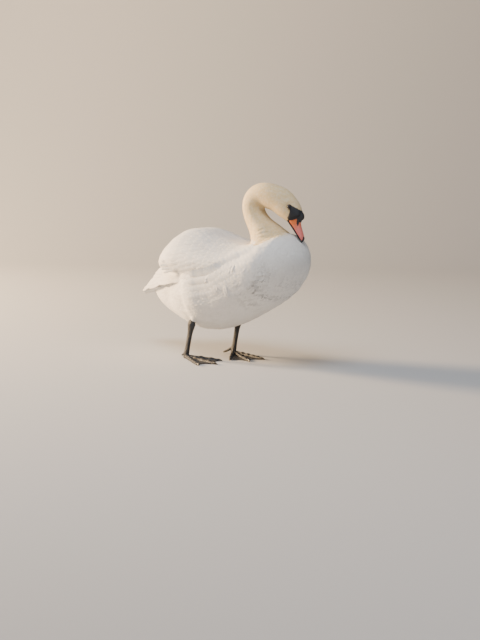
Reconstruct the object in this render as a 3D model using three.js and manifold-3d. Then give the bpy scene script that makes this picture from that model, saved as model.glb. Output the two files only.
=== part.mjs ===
// A mute swan standing on both feet, its neck drawn back in an S and its bill held down before the breast.
// Millimetres: +X is forward along the trunk, +Y the bird's left, +Z up, with the soles on z = 0.
import * as THREE from "three";
import { mergeVertices } from "three/addons/utils/BufferGeometryUtils.js";
import Module from "manifold-3d";

const wasm = await Module();
wasm.setup();
const { Vector3 } = THREE;
const { PI, abs, cos, hypot, max, min, sign, sin, sqrt } = Math;

// ---------------------------------------------------------------- driving dimensions

const GAP = 0.35; // clearance between two pieces that touch
const SIDES = { right: -1, left: 1 };

// Trunk: at each x, the height of the back, the belly and the widest level, and the half-width there,
// then the widest level and half-width of the form that the folded wings make over it.
const TRUNK = [
  [-402, 264, 152, 198, 40, 236, 43],
  [-340, 304, 136, 204, 54, 236, 84],
  [-290, 348, 122, 214, 72, 240, 108],
  [-230, 387, 104, 236, 106, 248, 127],
  [-150, 402, 88, 258, 141, 258, 141],
  [-70, 390, 98, 270, 148, 270, 148],
  [10, 381, 131, 288, 148, 288, 148],
  [90, 404, 176, 312, 143, 312, 143],
  [165, 448, 220, 336, 134, 336, 134],
  [232, 442, 252, 342, 126, 342, 126],
];
const TRUNK_ROUND = { rear: 109, front: 135 }; // lengths over which the two ends close
const TRUNK_SQUARENESS = 2.15; // exponent of the cross-section, 2 being an ellipse

// Neck and head: centre line x, y, z, half-width, reach to the nape side and to the throat side,
// and turn to the left in degrees.
const NECK = [
  [112, 0, 360, 92, 67, 76, 0],
  [103, 0, 394, 80, 67, 68, 0],
  [84, 0, 424, 64, 62, 46, 0],
  [59, 0, 449, 50, 49, 35, 0],
  [38, 0, 472, 43, 42, 34, 2],
  [26, 0, 497, 40, 41, 35, 4],
  [27, 0, 521, 39, 42, 36, 6],
  [42, 1, 540, 38, 42, 38, 9],
  [67, 2, 548, 37.5, 41, 43, 12],
  [93, 5, 543, 36.5, 43, 45, 15],
];
const HEAD = [
  [119, 10, 532, 35, 47, 42, 18],
  [141, 14, 516, 33.5, 46, 41, 18],
  [160, 18, 500, 30.5, 41, 37, 18],
  [173, 20, 484, 25, 34, 31, 18],
  [180, 22, 472, 19, 25, 24, 18],
];
const NECK_CUT = 5; // station at which the neck is parted into two lengths

// Bill, in its own frame: x along the bill, z towards the culmen, from the middle of the head's front.
const BILL = { at: [176, 20.5, 475], pitch: 67, turn: 18 };
// Each mandible and the nail: x, half-width, low and high z.
const UPPER_MANDIBLE = [
  [-8, 17, -18.5, 20],
  [4, 16, -16.5, 19],
  [16, 14.5, -14, 15.5],
  [30, 13.5, -10.5, 12],
  [46, 13.5, -7, 10],
  [60, 12.5, -4, 7.5],
  [68, 9, -2.5, 4.5],
  [72, 4, -1.5, 2.5],
];
const LOWER_MANDIBLE = [
  [-8, 14.5, -26, -17],
  [8, 13.5, -21.5, -14.5],
  [30, 12, -15.5, -9.5],
  [50, 11, -10.5, -5],
  [66, 8, -6.5, -3],
];
const NAIL = [
  [66, 6.5, 0, 5],
  [70, 7.2, -5.5, 4.6],
  [74, 6.4, -7.5, 2],
  [77, 3, -8, -3.5],
];
const EYE = { radius: 5.8, along: -43, side: 28.5, up: 4 };
const KNOB = { along: -4, up: 22, length: 16, width: 10.5, height: 12 };

// Folded wing: x, lower and upper limit of the angle round the trunk in degrees, thickness.
const WING = [
  [104, 46, 56, 3],
  [70, 36, 71, 7],
  [10, 24, 84, 10],
  [-70, 15, 88.6, 15],
  [-150, 12, 89, 25],
  [-215, 13, 89, 34],
  [-265, 19, 88, 32],
  [-302, 28, 85, 25],
  [-315, 35, 79, 14],
];
const WING_EDGE = { lower: 0.3, upper: 0.75 }; // share of the thickness left at the wing's two edges
const WING_LEAST = 2.8; // thickness kept at the thinnest edge
const WING_ROOT = 6; // depth to which the wing is drawn into the trunk before it is cut back

// Tail: x, half-width, lower and upper height.
const TAIL = [
  [-310, 54, 204, 246],
  [-365, 50, 200, 236],
  [-395, 41, 195, 226],
  [-425, 30, 188, 213],
  [-448, 19, 180, 201],
  [-463, 7, 174, 188],
];

// Ends of the long flight feathers past the folded wing, on the left side: x, then y and z of the
// stack's lower outer edge and of its upper inner edge, and half its thickness.
const WING_TIP = [
  [-172, 126, 256, 112, 306, 4],
  [-205, 118, 251, 106, 304, 5.5],
  [-235, 110, 246, 92, 300, 6.5],
  [-268, 94, 241, 74, 294, 6.5],
  [-300, 78, 235, 54, 288, 6],
  [-335, 60, 225, 33, 280, 5.5],
  [-368, 44, 215, 19, 264, 5],
  [-401, 30, 206, 12, 240, 4],
  [-430, 18, 195, 7, 216, 3],
  [-448, 11, 188, 5, 199, 1.8],
];

// Legs: where each ankle and foot joint is, and where the toes point, in degrees to the left.
const LEGS = {
  right: { knee: [-126, -90, 158], ankle: [-150, -98, 119], foot: [-170, -100, 15], heading: -8 },
  left: { knee: [-74, 76, 150], ankle: [-98, 78, 118], foot: [-112, 72, 15], heading: -30 },
};
const TOES = [
  { name: "inner", length: 116, spread: 25 },
  { name: "middle", length: 142, spread: 0 },
  { name: "outer", length: 134, spread: -24 },
];
const TOE_RADIUS = 6.5;
const TOE_SINK = 0.75; // a toe's middle is this share of its radius over the floor, so its sole is flat
// Shape along each toe: share of its length, share of TOE_RADIUS.
const TOE_SHAPE = [
  [-0.05, 1.3],
  [0.2, 1.1],
  [0.42, 0.88],
  [0.52, 1.02],
  [0.75, 0.8],
  [1, 0.7],
];
// Claw: distance past the toe's end, height of its middle, radius.
const CLAW = [
  [-3, 4.6, 3.6],
  [4, 4.6, 3.2],
  [11, 3.2, 2],
  [15, 1.8, 0.8],
];
// Hind toe: distance behind and towards the other foot from the foot's joint, height, radius.
const HIND_TOE = [
  [13, 6, 15, 4.4],
  [26, 12, 7, 3.6],
  [32, 14, 4, 2],
];
const HIND_START = [0.86, 4]; // in the tarsus, between ankle and foot
// Lengths of the leg: share of the way from the upper to the lower joint, radius there.
const SHANK = [
  [-0.6, 36],
  [0, 27],
  [0.55, 17],
  [0.92, 11],
];
const TARSUS_START = [0.8, 9]; // in the shank, between knee and ankle
const TARSUS = [
  [0, 12.5],
  [0.18, 10],
  [0.35, 7.2],
  [0.75, 7.2],
  [0.92, 9],
];
const FOOT_JOINT = [
  [0.9, 8.6],
  [1, 10],
];
const FOOT_PAD = { ahead: 3, high: 5, radius: 8.5 }; // where the foot's joint runs into the toes
const WEB = { root: 3, low: 0.9, high: 3.6, scallop: 0.17 };

// ---------------------------------------------------------------- materials

const finish = (color, roughness) => new THREE.MeshStandardMaterial({ color, roughness, metalness: 0 });
const PLUMAGE = finish(0xf1ede4, 0.85);
const NECK_PLUMAGE = finish(0xeee0c2, 0.88);
const FLIGHT_FEATHER = finish(0xf5f2ec, 0.7);
const BILL_ORANGE = finish(0xd9694a, 0.45);
const BILL_BLACK = finish(0x15171b, 0.4);
const LEG_SKIN = finish(0x3a3835, 0.6);
const CLAW_HORN = finish(0x141313, 0.35);
const EYE_BROWN = finish(0x1c0f0a, 0.08);

// ---------------------------------------------------------------- geometry helpers

const radians = (degrees) => (degrees * PI) / 180;
const span = (count) => Array.from({ length: count }, (_, i) => i / (count - 1));
const mix = (a, b, t) => a + (b - a) * t;

// A row of a table of stations at any x, by a smooth curve through each column.
function along(table) {
  const rows = table[0][0] < table[table.length - 1][0] ? table : [...table].reverse();
  const width = rows[0].length - 1;
  const curve = new THREE.CubicInterpolant(
    rows.map((row) => row[0]),
    rows.flatMap((row) => row.slice(1)),
    width,
  );
  return (x) => Array.from(curve.evaluate(x));
}

// A row of a table at a share of its length, when its first column isn't the parameter.
const byShare = (table) => {
  const at = along(table.map((row, i) => [i / (table.length - 1), ...row]));
  return (share) => at(min(max(share, 0), 1));
};

// A closed body through rings of points, its two ends closed by fans.
function loft(rings) {
  const size = rings[0].length;
  const points = rings.flat();
  const centre = (ring) => ring.reduce((sum, p) => sum.add(p), new Vector3()).divideScalar(size);
  points.push(centre(rings[0]), centre(rings[rings.length - 1]));
  const last = (rings.length - 1) * size;
  const faces = [];
  for (let j = 0; j < size; j++) {
    const k = (j + 1) % size;
    for (let i = 0; i < last; i += size) {
      faces.push(i + j, i + k, i + size + k);
      faces.push(i + j, i + size + k, i + size + j);
    }
    faces.push(points.length - 2, k, j, points.length - 1, last + j, last + k);
  }
  return solidOf(points, faces);
}

// A closed shell between two grids of points of one size, the first outside the second.
function shell(outer, inner) {
  const rows = outer.length;
  const columns = outer[0].length;
  const points = [...outer.flat(), ...inner.flat()];
  const at = (layer, i, j) => layer * rows * columns + i * columns + j;
  const faces = [];
  const quad = (a, b, c, d) => faces.push(a, b, c, a, c, d);
  for (let i = 0; i + 1 < rows; i++) {
    for (let j = 0; j + 1 < columns; j++) {
      quad(at(0, i, j), at(0, i, j + 1), at(0, i + 1, j + 1), at(0, i + 1, j));
      quad(at(1, i, j), at(1, i + 1, j), at(1, i + 1, j + 1), at(1, i, j + 1));
    }
    quad(at(0, i, 0), at(0, i + 1, 0), at(1, i + 1, 0), at(1, i, 0));
    quad(at(0, i, columns - 1), at(1, i, columns - 1), at(1, i + 1, columns - 1), at(0, i + 1, columns - 1));
  }
  for (let j = 0; j + 1 < columns; j++) {
    quad(at(0, 0, j), at(1, 0, j), at(1, 0, j + 1), at(0, 0, j + 1));
    quad(at(0, rows - 1, j), at(0, rows - 1, j + 1), at(1, rows - 1, j + 1), at(1, rows - 1, j));
  }
  return solidOf(points, faces);
}

// The solid bounded by these triangles, whichever way round they were listed.
function solidOf(points, faces) {
  const made = () =>
    new wasm.Manifold(
      new wasm.Mesh({
        numProp: 3,
        vertProperties: new Float32Array(points.flatMap((p) => [p.x, p.y, p.z])),
        triVerts: new Uint32Array(faces),
      }),
    );
  const solid = made();
  if (solid.volume() > 0) return solid;
  for (let i = 0; i < faces.length; i += 3) [faces[i + 1], faces[i + 2]] = [faces[i + 2], faces[i + 1]];
  return made();
}

// A three.js geometry as a solid.
function solidFrom(geometry) {
  geometry.deleteAttribute("normal");
  geometry.deleteAttribute("uv");
  const merged = mergeVertices(geometry, 1e-4);
  const position = merged.getAttribute("position");
  const points = span(position.count).map((_, i) => new Vector3().fromBufferAttribute(position, i));
  return solidOf(points, Array.from(merged.index.array));
}

// An ellipsoid with these half-axes, turned and moved by a matrix.
function ellipsoid(axes, matrix, detail) {
  const geometry = new THREE.SphereGeometry(1, detail, detail / 2);
  geometry.scale(...axes).applyMatrix4(matrix);
  return solidFrom(geometry);
}

// The room that a solid takes up with its clearance: every vertex moved out along its normal.
function roomFor(solid) {
  const mesh = solid.getMesh();
  const geometry = new THREE.BufferGeometry();
  geometry.setAttribute("position", new THREE.BufferAttribute(new Float32Array(mesh.vertProperties), 3));
  geometry.setIndex(new THREE.BufferAttribute(new Uint32Array(mesh.triVerts), 1));
  geometry.computeVertexNormals();
  const [position, normal] = [geometry.getAttribute("position"), geometry.getAttribute("normal")];
  const points = span(position.count).map((_, i) => {
    const outwards = new Vector3().fromBufferAttribute(normal, i);
    return new Vector3().fromBufferAttribute(position, i).addScaledVector(outwards, GAP);
  });
  return solidOf(points, Array.from(mesh.triVerts));
}

// The largest body of a solid, so that a cut leaves no crumbs.
const largest = (solid) => solid.decompose().sort((a, b) => b.volume() - a.volume())[0];

const swan = new THREE.Group();
const rooms = [];

// Adds a piece, cut back from every piece added before it.
function add(name, solid, material, room = roomFor(solid)) {
  const cut = largest(rooms.reduce((left, taken) => left.subtract(taken), solid));
  rooms.push(room);
  const mesh = cut.getMesh();
  const geometry = new THREE.BufferGeometry();
  geometry.setAttribute("position", new THREE.BufferAttribute(new Float32Array(mesh.vertProperties), 3));
  geometry.setIndex(new THREE.BufferAttribute(new Uint32Array(mesh.triVerts), 1));
  geometry.computeVertexNormals();
  const piece = new THREE.Mesh(geometry, material);
  piece.name = name;
  swan.add(piece);
}

// ---------------------------------------------------------------- trunk

const trunkRow = along(TRUNK);
const TRUNK_ENDS = [TRUNK[0][0], TRUNK[TRUNK.length - 1][0]];

// A point at x on a section with this widest level and half-width, at an angle from the bird's left
// up to its back, raised by an offset.
function sectionPoint(x, angle, offset, wide, half) {
  const [top, bottom] = trunkRow(x);
  const [rear, front] = TRUNK_ENDS;
  const fromEnd = min((x - rear) / TRUNK_ROUND.rear, (front - x) / TRUNK_ROUND.front);
  const closing = sqrt(max(0, 1 - (1 - min(fromEnd, 1)) ** 2));
  const [c, s] = [cos(angle), sin(angle)];
  const bend = 2 / TRUNK_SQUARENESS;
  const reach = (s > 0 ? top - wide : wide - bottom) * closing + offset;
  return new Vector3(
    x,
    (half * closing + offset) * sign(c) * abs(c) ** bend,
    wide + reach * sign(s) * abs(s) ** bend,
  );
}

const trunkPoint = (x, angle, offset = 0) => sectionPoint(x, angle, offset, ...trunkRow(x).slice(2, 4));
const wingPoint = (x, angle, offset) => sectionPoint(x, angle, offset, ...trunkRow(x).slice(4));

function trunkSolid(rings = 24, sides = 28) {
  const [rear, front] = TRUNK_ENDS;
  return loft(
    span(rings).map((t) => {
      const x = mix(rear + 0.4, front - 0.4, (1 - cos(PI * t)) / 2);
      return span(sides + 1).slice(1).map((u) => trunkPoint(x, 2 * PI * u));
    }),
  );
}

// ---------------------------------------------------------------- neck and head

// A ring round the centre line: the line's own direction comes from its neighbours in the same table.
function bodyRing(rowAt, share, sides) {
  const step = 0.004;
  const place = (s) => new Vector3(...rowAt(s).slice(0, 3));
  const [, , , half, nape, throat, turn] = rowAt(share);
  const forward = place(share + step).sub(place(share - step)).normalize();
  const left = new Vector3(-sin(radians(turn)), cos(radians(turn)), 0);
  const dorsal = forward.clone().cross(left).normalize();
  return span(sides + 1).slice(1).map((u) => {
    const angle = 2 * PI * u;
    const reach = sin(angle) > 0 ? nape : throat;
    return place(share)
      .addScaledVector(left, half * cos(angle))
      .addScaledVector(dorsal, reach * sin(angle));
  });
}

const SPINE = [...NECK, ...HEAD];
const spineRow = byShare(SPINE);
const stationShare = (station) => station / (SPINE.length - 1);

function spineSolid(from, to, rings, sides = 18) {
  return loft(span(rings).map((t) => bodyRing(spineRow, mix(from, to, t), sides)));
}

// ---------------------------------------------------------------- bill and eyes

// Matrix of the bill's frame: x along the bill, y to the bird's left, z towards the culmen.
const billFrame = new THREE.Matrix4()
  .makeTranslation(...BILL.at)
  .multiply(new THREE.Matrix4().makeRotationZ(radians(BILL.turn)))
  .multiply(new THREE.Matrix4().makeRotationY(radians(BILL.pitch)));
const inBill = (x, y, z) => new Vector3(x, y, z).applyMatrix4(billFrame);

// One mandible: x, half-width, low and high z, closed by rounded rings.
function mandible(table, squareness, rings = 9, sides = 12) {
  const rowAt = byShare(table);
  return loft(
    span(rings).map((t) => {
      const [x, half, low, high] = rowAt(t);
      return span(sides + 1).slice(1).map((u) => {
        const [c, s] = [cos(2 * PI * u), sin(2 * PI * u)];
        const bend = 2 / squareness;
        const z = (low + high) / 2 + ((high - low) / 2) * sign(s) * abs(s) ** bend;
        return inBill(x, half * sign(c) * abs(c) ** bend, z);
      });
    }),
  );
}

// ---------------------------------------------------------------- trunk, neck and head as pieces

const neckTop = stationShare(NECK.length - 0.5);
const neckCut = stationShare(NECK_CUT);
const GAP_SHARE = 0.0008; // half the clearance at a cut through the neck, as a share of its length

const onBill = (x, y, z) => new THREE.Matrix4().makeTranslation(x, y, z).premultiply(billFrame);
const knob = ellipsoid([KNOB.length, KNOB.width, KNOB.height], onBill(KNOB.along, 0, KNOB.up), 14);
const eye = (side) =>
  ellipsoid([EYE.radius, EYE.radius, EYE.radius], onBill(EYE.along, side * EYE.side, EYE.up), 12);

add("trunk", trunkSolid(), PLUMAGE);
add("neck_lower", spineSolid(0, neckCut - GAP_SHARE, 12), NECK_PLUMAGE);
add("neck_upper", spineSolid(neckCut + GAP_SHARE, neckTop - GAP_SHARE, 12), NECK_PLUMAGE);
add("eye_right", eye(SIDES.right), EYE_BROWN);
add("eye_left", eye(SIDES.left), EYE_BROWN);
add("head", spineSolid(neckTop + GAP_SHARE, 1, 12), NECK_PLUMAGE);
add("bill_knob", knob, BILL_BLACK);
add("bill_nail", mandible(NAIL, 2, 6, 10), BILL_BLACK);
add("bill_upper", mandible(UPPER_MANDIBLE, 2.3), BILL_ORANGE);
add("bill_lower", mandible(LOWER_MANDIBLE, 2.2, 6, 10), BILL_BLACK);

// ---------------------------------------------------------------- wings

const wingRow = along(WING);

// A folded wing: a shell on the trunk, thick along its middle and thin at its edges.
function wingSolid(side, rows = 15, columns = 9) {
  const grid = (outside) =>
    span(rows).map((t) => {
      const x = mix(WING[0][0], WING[WING.length - 1][0], t);
      const [low, high, thickness] = wingRow(x);
      return span(columns).map((u) => {
        const crown = sqrt(max(0, 1 - (2 * u - 1) ** 4));
        const edge = u < 0.5 ? WING_EDGE.lower : WING_EDGE.upper;
        const proud = max(WING_LEAST, thickness * mix(edge, 1, crown));
        const angle = radians(mix(low, high, u));
        const point = outside ? wingPoint(x, angle, proud) : trunkPoint(x, angle, -WING_ROOT);
        point.y *= side;
        return point;
      });
    });
  return shell(grid(true), grid(false));
}

// ---------------------------------------------------------------- tail and legs

// The tail: a flat wedge of stiff feathers that droops from the rump to a blunt point.
function tailSolid() {
  const rowAt = byShare(TAIL);
  return loft(
    span(8).map((t) => {
      const [x, half, low, high] = rowAt(t);
      return span(15).slice(1).map((u) => {
        const [c, s] = [cos(2 * PI * u), sin(2 * PI * u)];
        return new Vector3(x, half * c, mix(low, high, (1 + s) / 2));
      });
    }),
  );
}

// A limb through stations x, y, z, radius, with its rings square to the line.
function limb(stations, rings, sides) {
  const rowAt = byShare(stations);
  const place = (t) => new Vector3(...rowAt(t).slice(0, 3));
  return loft(
    span(rings).map((t) => {
      const way = place(min(t + 0.02, 1)).sub(place(max(t - 0.02, 0))).normalize();
      const across = new Vector3(0, 1, 0).cross(way).normalize();
      const beside = way.clone().cross(across);
      const radius = rowAt(t)[3];
      return span(sides + 1).slice(1).map((u) =>
        place(t)
          .addScaledVector(across, radius * cos(2 * PI * u))
          .addScaledVector(beside, radius * sin(2 * PI * u)),
      );
    }),
  );
}

// Everything below the floor, which the soles are cut flat by.
const underFloor = solidFrom(new THREE.BoxGeometry(2000, 2000, 100).translate(0, 0, -50));

// Where a toe points, as a unit vector on the floor.
const toeWay = (leg, toe) => {
  const angle = radians(leg.heading + leg.side * -toe.spread);
  return new Vector3(cos(angle), sin(angle), 0);
};

// A point of the foot: this far out along a toe, at a height.
const onToe = (leg, toe, reach, height) =>
  new Vector3(leg.foot[0], leg.foot[1], 0).addScaledVector(toeWay(leg, toe), reach).setZ(height);

function toeSolid(leg, toe) {
  const at = (share, thickness) => {
    const radius = TOE_RADIUS * thickness;
    return [...onToe(leg, toe, toe.length * share, radius * TOE_SINK).toArray(), radius];
  };
  return limb(TOE_SHAPE.map(([share, thickness]) => at(share, thickness)), 6, 6);
}

// The web between two toes, its front edge hollowed between their tips.
function webSolid(leg, toeA, toeB) {
  const grid = (height) =>
    span(4).map((t) =>
      span(4).map((u) => {
        const front = mix(toeA.length, toeB.length, u) * (1 - WEB.scallop * sin(PI * u));
        const reach = mix(WEB.root, front, t);
        return onToe(leg, toeA, reach, height).lerp(onToe(leg, toeB, reach, height), u);
      }),
    );
  return shell(grid(WEB.high), grid(WEB.low));
}

for (const [name, side] of Object.entries(SIDES)) add("wing_" + name, wingSolid(side), PLUMAGE);

// The ends of the long flight feathers: a stack that leans against the rump and runs out over the tail.
function wingTipSolid(side) {
  const rowAt = byShare(WING_TIP);
  return loft(
    span(10).map((t) => {
      const [x, lowY, lowZ, highY, highZ, thick] = rowAt(t);
      const length = hypot(highY - lowY, highZ - lowZ);
      const [outY, outZ] = [(highZ - lowZ) / length, (lowY - highY) / length];
      return span(11).slice(1).map((u) => {
        const [c, s] = [cos(2 * PI * u), thick * sin(2 * PI * u)];
        const [y, z] = [mix(lowY, highY, (1 + c) / 2), mix(lowZ, highZ, (1 + c) / 2)];
        return new Vector3(x, side * (y + outY * s), z + outZ * s);
      });
    }),
  );
}

add("tail", tailSolid(), FLIGHT_FEATHER);
for (const [name, side] of Object.entries(SIDES)) add("wing_tip_" + name, wingTipSolid(side), FLIGHT_FEATHER);

for (const [name, side] of Object.entries(SIDES)) {
  const leg = { ...LEGS[name], side };
  const [knee, ankle, foot] = [leg.knee, leg.ankle, leg.foot].map((p) => new Vector3(...p));
  const partWay = (a, b, t) => a.clone().lerp(b, t).toArray();
  const stations = (a, b, table) => table.map(([share, radius]) => [...partWay(a, b, share), radius]);
  const shank = limb(stations(knee, ankle, SHANK), 6, 12);
  const tarsusStations = [...stations(knee, ankle, [TARSUS_START]), ...stations(ankle, foot, TARSUS)];
  const tarsus = limb(tarsusStations, 9, 8);
  const pad = [foot.x + FOOT_PAD.ahead, foot.y, FOOT_PAD.high, FOOT_PAD.radius];
  const footJoint = limb([...stations(ankle, foot, FOOT_JOINT), pad], 4, 8);
  const [inner, middle, outer] = TOES;
  for (const toe of TOES) {
    const at = ([past, height, radius]) => [...onToe(leg, toe, toe.length + past, height).toArray(), radius];
    const claw = limb(CLAW.map(at), 4, 6);
    add(`claw_${name}_${toe.name}`, claw.subtract(underFloor), CLAW_HORN);
  }
  const toes = TOES.map((toe) => toeSolid(leg, toe));
  const hindStations = HIND_TOE.map(([behind, inwards, height, radius]) => [
    foot.x - behind,
    foot.y - side * inwards,
    height,
    radius,
  ]);
  const hind = limb([...stations(ankle, foot, [HIND_START]), ...hindStations], 5, 6);
  const webs = [webSolid(leg, inner, middle), webSolid(leg, middle, outer)];
  add("shank_" + name, shank, PLUMAGE);
  const footSolid = [...toes, ...webs, hind].reduce((sum, piece) => sum.add(piece), footJoint);
  add("foot_" + name, footSolid.subtract(underFloor), LEG_SKIN, roomFor(footJoint).add(roomFor(hind)));
  add("tarsus_" + name, tarsus, LEG_SKIN);
}

// The origin is on the floor, under the middle of the bird's box.
const box = new THREE.Box3().setFromObject(swan, true);
swan.position.set(-(box.min.x + box.max.x) / 2, -(box.min.y + box.max.y) / 2, 0);
export default swan;
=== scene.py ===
import math

import bmesh
import bpy
import numpy as np
from mathutils import Matrix, Vector
from mathutils.bvhtree import BVHTree


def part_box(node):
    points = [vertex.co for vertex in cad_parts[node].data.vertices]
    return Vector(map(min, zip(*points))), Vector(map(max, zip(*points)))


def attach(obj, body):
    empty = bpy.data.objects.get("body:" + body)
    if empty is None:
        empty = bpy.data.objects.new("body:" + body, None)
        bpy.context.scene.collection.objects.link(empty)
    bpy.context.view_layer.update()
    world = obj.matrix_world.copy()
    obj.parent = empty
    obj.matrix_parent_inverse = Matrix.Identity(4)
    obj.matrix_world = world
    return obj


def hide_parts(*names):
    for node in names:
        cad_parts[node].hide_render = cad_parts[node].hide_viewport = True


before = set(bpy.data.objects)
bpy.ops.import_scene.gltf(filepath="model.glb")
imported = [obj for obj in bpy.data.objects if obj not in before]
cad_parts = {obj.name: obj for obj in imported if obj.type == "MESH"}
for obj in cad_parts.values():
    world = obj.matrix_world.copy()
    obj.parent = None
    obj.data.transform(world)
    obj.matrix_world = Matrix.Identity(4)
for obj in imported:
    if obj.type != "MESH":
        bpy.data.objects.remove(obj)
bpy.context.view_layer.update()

# ---------------------------------------------------------------- skin
# One skin runs without a seam over trunk, folded wings, tail, thighs, neck and head, as a mounted
# bird's skin does. It lies inside the solids by the depth of the plumage that covers it.
MM = 0.001
FLESH = ["trunk", "neck_lower", "neck_upper", "head", "tail"]
FLESH += [part + side for side in ("_right", "_left") for part in ("wing", "wing_tip", "shank")]
SKIN_SWELL = 0.7 * MM  # closes the clearance between two solids
SKIN_EVEN = 3.6 * MM
SKIN_SMOOTHING = 7
PLUMAGE_DEPTH = {"head": 1.8 * MM, "neck": 2.6 * MM, "body": 3.6 * MM}

# Place of the bill's root, from the two eyes, and with it the middle of the bird's design.
BILL_PITCH, BILL_TURN = math.radians(67), math.radians(18)
BILL_TURNED = Matrix.Rotation(BILL_TURN, 3, "Z") @ Matrix.Rotation(BILL_PITCH, 3, "Y")
EYE_ON_BILL = Vector((-43, 28.5, 4)) * MM
EYE_RADIUS = 5.8 * MM
eye_corners = [corner for side in ("right", "left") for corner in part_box("eye_" + side)]
eye_middle = sum(eye_corners, Vector()) / len(eye_corners)
BILL_AT = eye_middle - BILL_TURNED @ Vector((EYE_ON_BILL.x, 0, EYE_ON_BILL.z))
CENTRE = BILL_AT - Vector((176, 20.5, 475)) * MM  # on the floor, under the bird's middle


def on_bill(x, y, z):
    """A place given along the bill, to the bird's left and towards the culmen, in millimetres."""
    return BILL_AT + BILL_TURNED @ (Vector((x, y, z)) * MM)


def on_bird(x, y, z):
    """A place given forward, left and up from the middle of the bird, in millimetres."""
    return CENTRE + Vector((x, y, z)) * MM


# Middle line of the bird from the tail's tip to the front of the head.
SPINE = [(-463, 0, 183), (-380, 0, 236), (-270, 0, 250), (-150, 0, 247), (-30, 0, 258), (62, 0, 290)]
SPINE += [(104, 0, 330), (112, 0, 360), (103, 0, 394), (84, 0, 424), (59, 0, 449), (38, 0, 472)]
SPINE += [(26, 0, 497), (27, 0, 521), (42, 1, 540), (67, 2, 548), (93, 5, 543), (119, 10, 532)]
SPINE += [(141, 14, 516), (160, 18, 500), (173, 20, 484), (180, 22, 472)]
NECK_STATION, NECK_FULL, NECK_TOP, HEAD_STATION, FACE_STATION = 7, 10, 13, 16, 19  # places in that list
SPINE_POINTS = 160


def smooth_line(stations, count):
    """Points spread evenly along a smooth line through the stations."""
    rows = np.array(stations, float)
    padded = np.vstack([2 * rows[0] - rows[1], rows, 2 * rows[-1] - rows[-2]])
    fine = []
    for a, b, c, d in zip(padded, padded[1:], padded[2:], padded[3:]):
        for t in np.arange(0, 1, 0.05):
            straight = 2 * b + (c - a) * t
            curved = (2 * a - 5 * b + 4 * c - d) * t**2
            fine.append(0.5 * (straight + curved + (3 * b - a - 3 * c + d) * t**3))
    fine = np.array(fine + [rows[-1]])
    run = np.r_[0, np.cumsum(np.linalg.norm(np.diff(fine[:, :3], axis=0), axis=1))]
    return np.stack([np.interp(np.linspace(0, run[-1], count), run, column) for column in fine.T], 1)


def unit(vectors):
    return vectors / np.maximum(np.linalg.norm(vectors, axis=-1, keepdims=True), 1e-9)


def ease(low, high, values):
    """0 below low, 1 above high, smooth between."""
    t = np.clip((np.asarray(values, float) - low) / (high - low), 0, 1)
    return t * t * (3 - 2 * t)


def read_points(mesh):
    points = np.empty(len(mesh.vertices) * 3, np.float32)
    mesh.vertices.foreach_get("co", points)
    return points.reshape(-1, 3).astype(float)


def write_points(mesh, points):
    mesh.vertices.foreach_set("co", np.asarray(points, np.float32).ravel())
    mesh.update()


def read_normals(mesh):
    normals = np.empty(len(mesh.vertices) * 3, np.float32)
    mesh.vertices.foreach_get("normal", normals)
    return normals.reshape(-1, 3).astype(float)


def store(mesh, name, values, kind="FLOAT", domain="POINT"):
    """Keeps one value for each point, or for each face corner, as a named attribute."""
    layer = mesh.attributes.new(name, kind, domain)
    field = {"FLOAT": "value", "FLOAT_VECTOR": "vector", "FLOAT2": "vector"}[kind]
    layer.data.foreach_set(field, np.asarray(values, np.float32).ravel())


def shown(name, mesh):
    """A new object for a mesh that already lies in its place."""
    piece = bpy.data.objects.new(name, mesh)
    bpy.context.scene.collection.objects.link(piece)
    return piece


def finished(piece):
    """The object with its modifiers turned into a plain mesh."""
    bpy.context.view_layer.update()
    evaluated = piece.evaluated_get(bpy.context.evaluated_depsgraph_get())
    mesh = bpy.data.meshes.new_from_object(evaluated)
    piece.modifiers.clear()
    worn = piece.data
    piece.data = mesh
    bpy.data.meshes.remove(worn)
    return piece


def joined_flesh():
    """Copies of the flesh solids, each swollen a little so that they run into one another."""
    whole = bmesh.new()
    for name in FLESH:
        part = bmesh.new()
        part.from_mesh(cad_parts[name].data)
        bmesh.ops.remove_doubles(part, verts=part.verts, dist=0.002 * MM)
        part.normal_update()
        for vertex in part.verts:
            vertex.co += vertex.normal * SKIN_SWELL
        mesh = bpy.data.meshes.new(name + "_flesh")
        part.to_mesh(mesh)
        part.free()
        whole.from_mesh(mesh)
        bpy.data.meshes.remove(mesh)
    mesh = bpy.data.meshes.new("skin")
    whole.to_mesh(mesh)
    whole.free()
    return shown("skin", mesh)


def keep_outermost(mesh):
    """Removes what lies shut up inside the skin."""
    body = bmesh.new()
    body.from_mesh(mesh)
    body.verts.ensure_lookup_table()
    seen = set()
    shells = []
    for start in body.verts:
        if start.index in seen:
            continue
        shell, edge = {start.index}, [start]
        while edge:
            for link in edge.pop().link_edges:
                for other in link.verts:
                    if other.index not in shell:
                        shell.add(other.index)
                        edge.append(other)
        seen |= shell
        shells.append(shell)
    largest = max(shells, key=len)
    bmesh.ops.delete(body, geom=[v for v in body.verts if v.index not in largest], context="VERTS")
    body.to_mesh(mesh)
    body.free()


def edge_ends(mesh):
    ends = np.empty(len(mesh.edges) * 2, np.int64)
    mesh.edges.foreach_get("vertices", ends)
    return ends.reshape(-1, 2)


def relax(values, ends, rounds, share=0.6):
    """Evens out a value, or the points themselves, along the edges of a mesh."""
    values = np.array(values, float)
    links = np.bincount(ends.ravel(), minlength=len(values)).astype(float)
    links = np.maximum(links, 1).reshape((-1,) + (1,) * (values.ndim - 1))
    for _ in range(rounds):
        total = np.zeros_like(values)
        np.add.at(total, ends[:, 0], values[ends[:, 1]])
        np.add.at(total, ends[:, 1], values[ends[:, 0]])
        values += share * (total / links - values)
    return values


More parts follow.
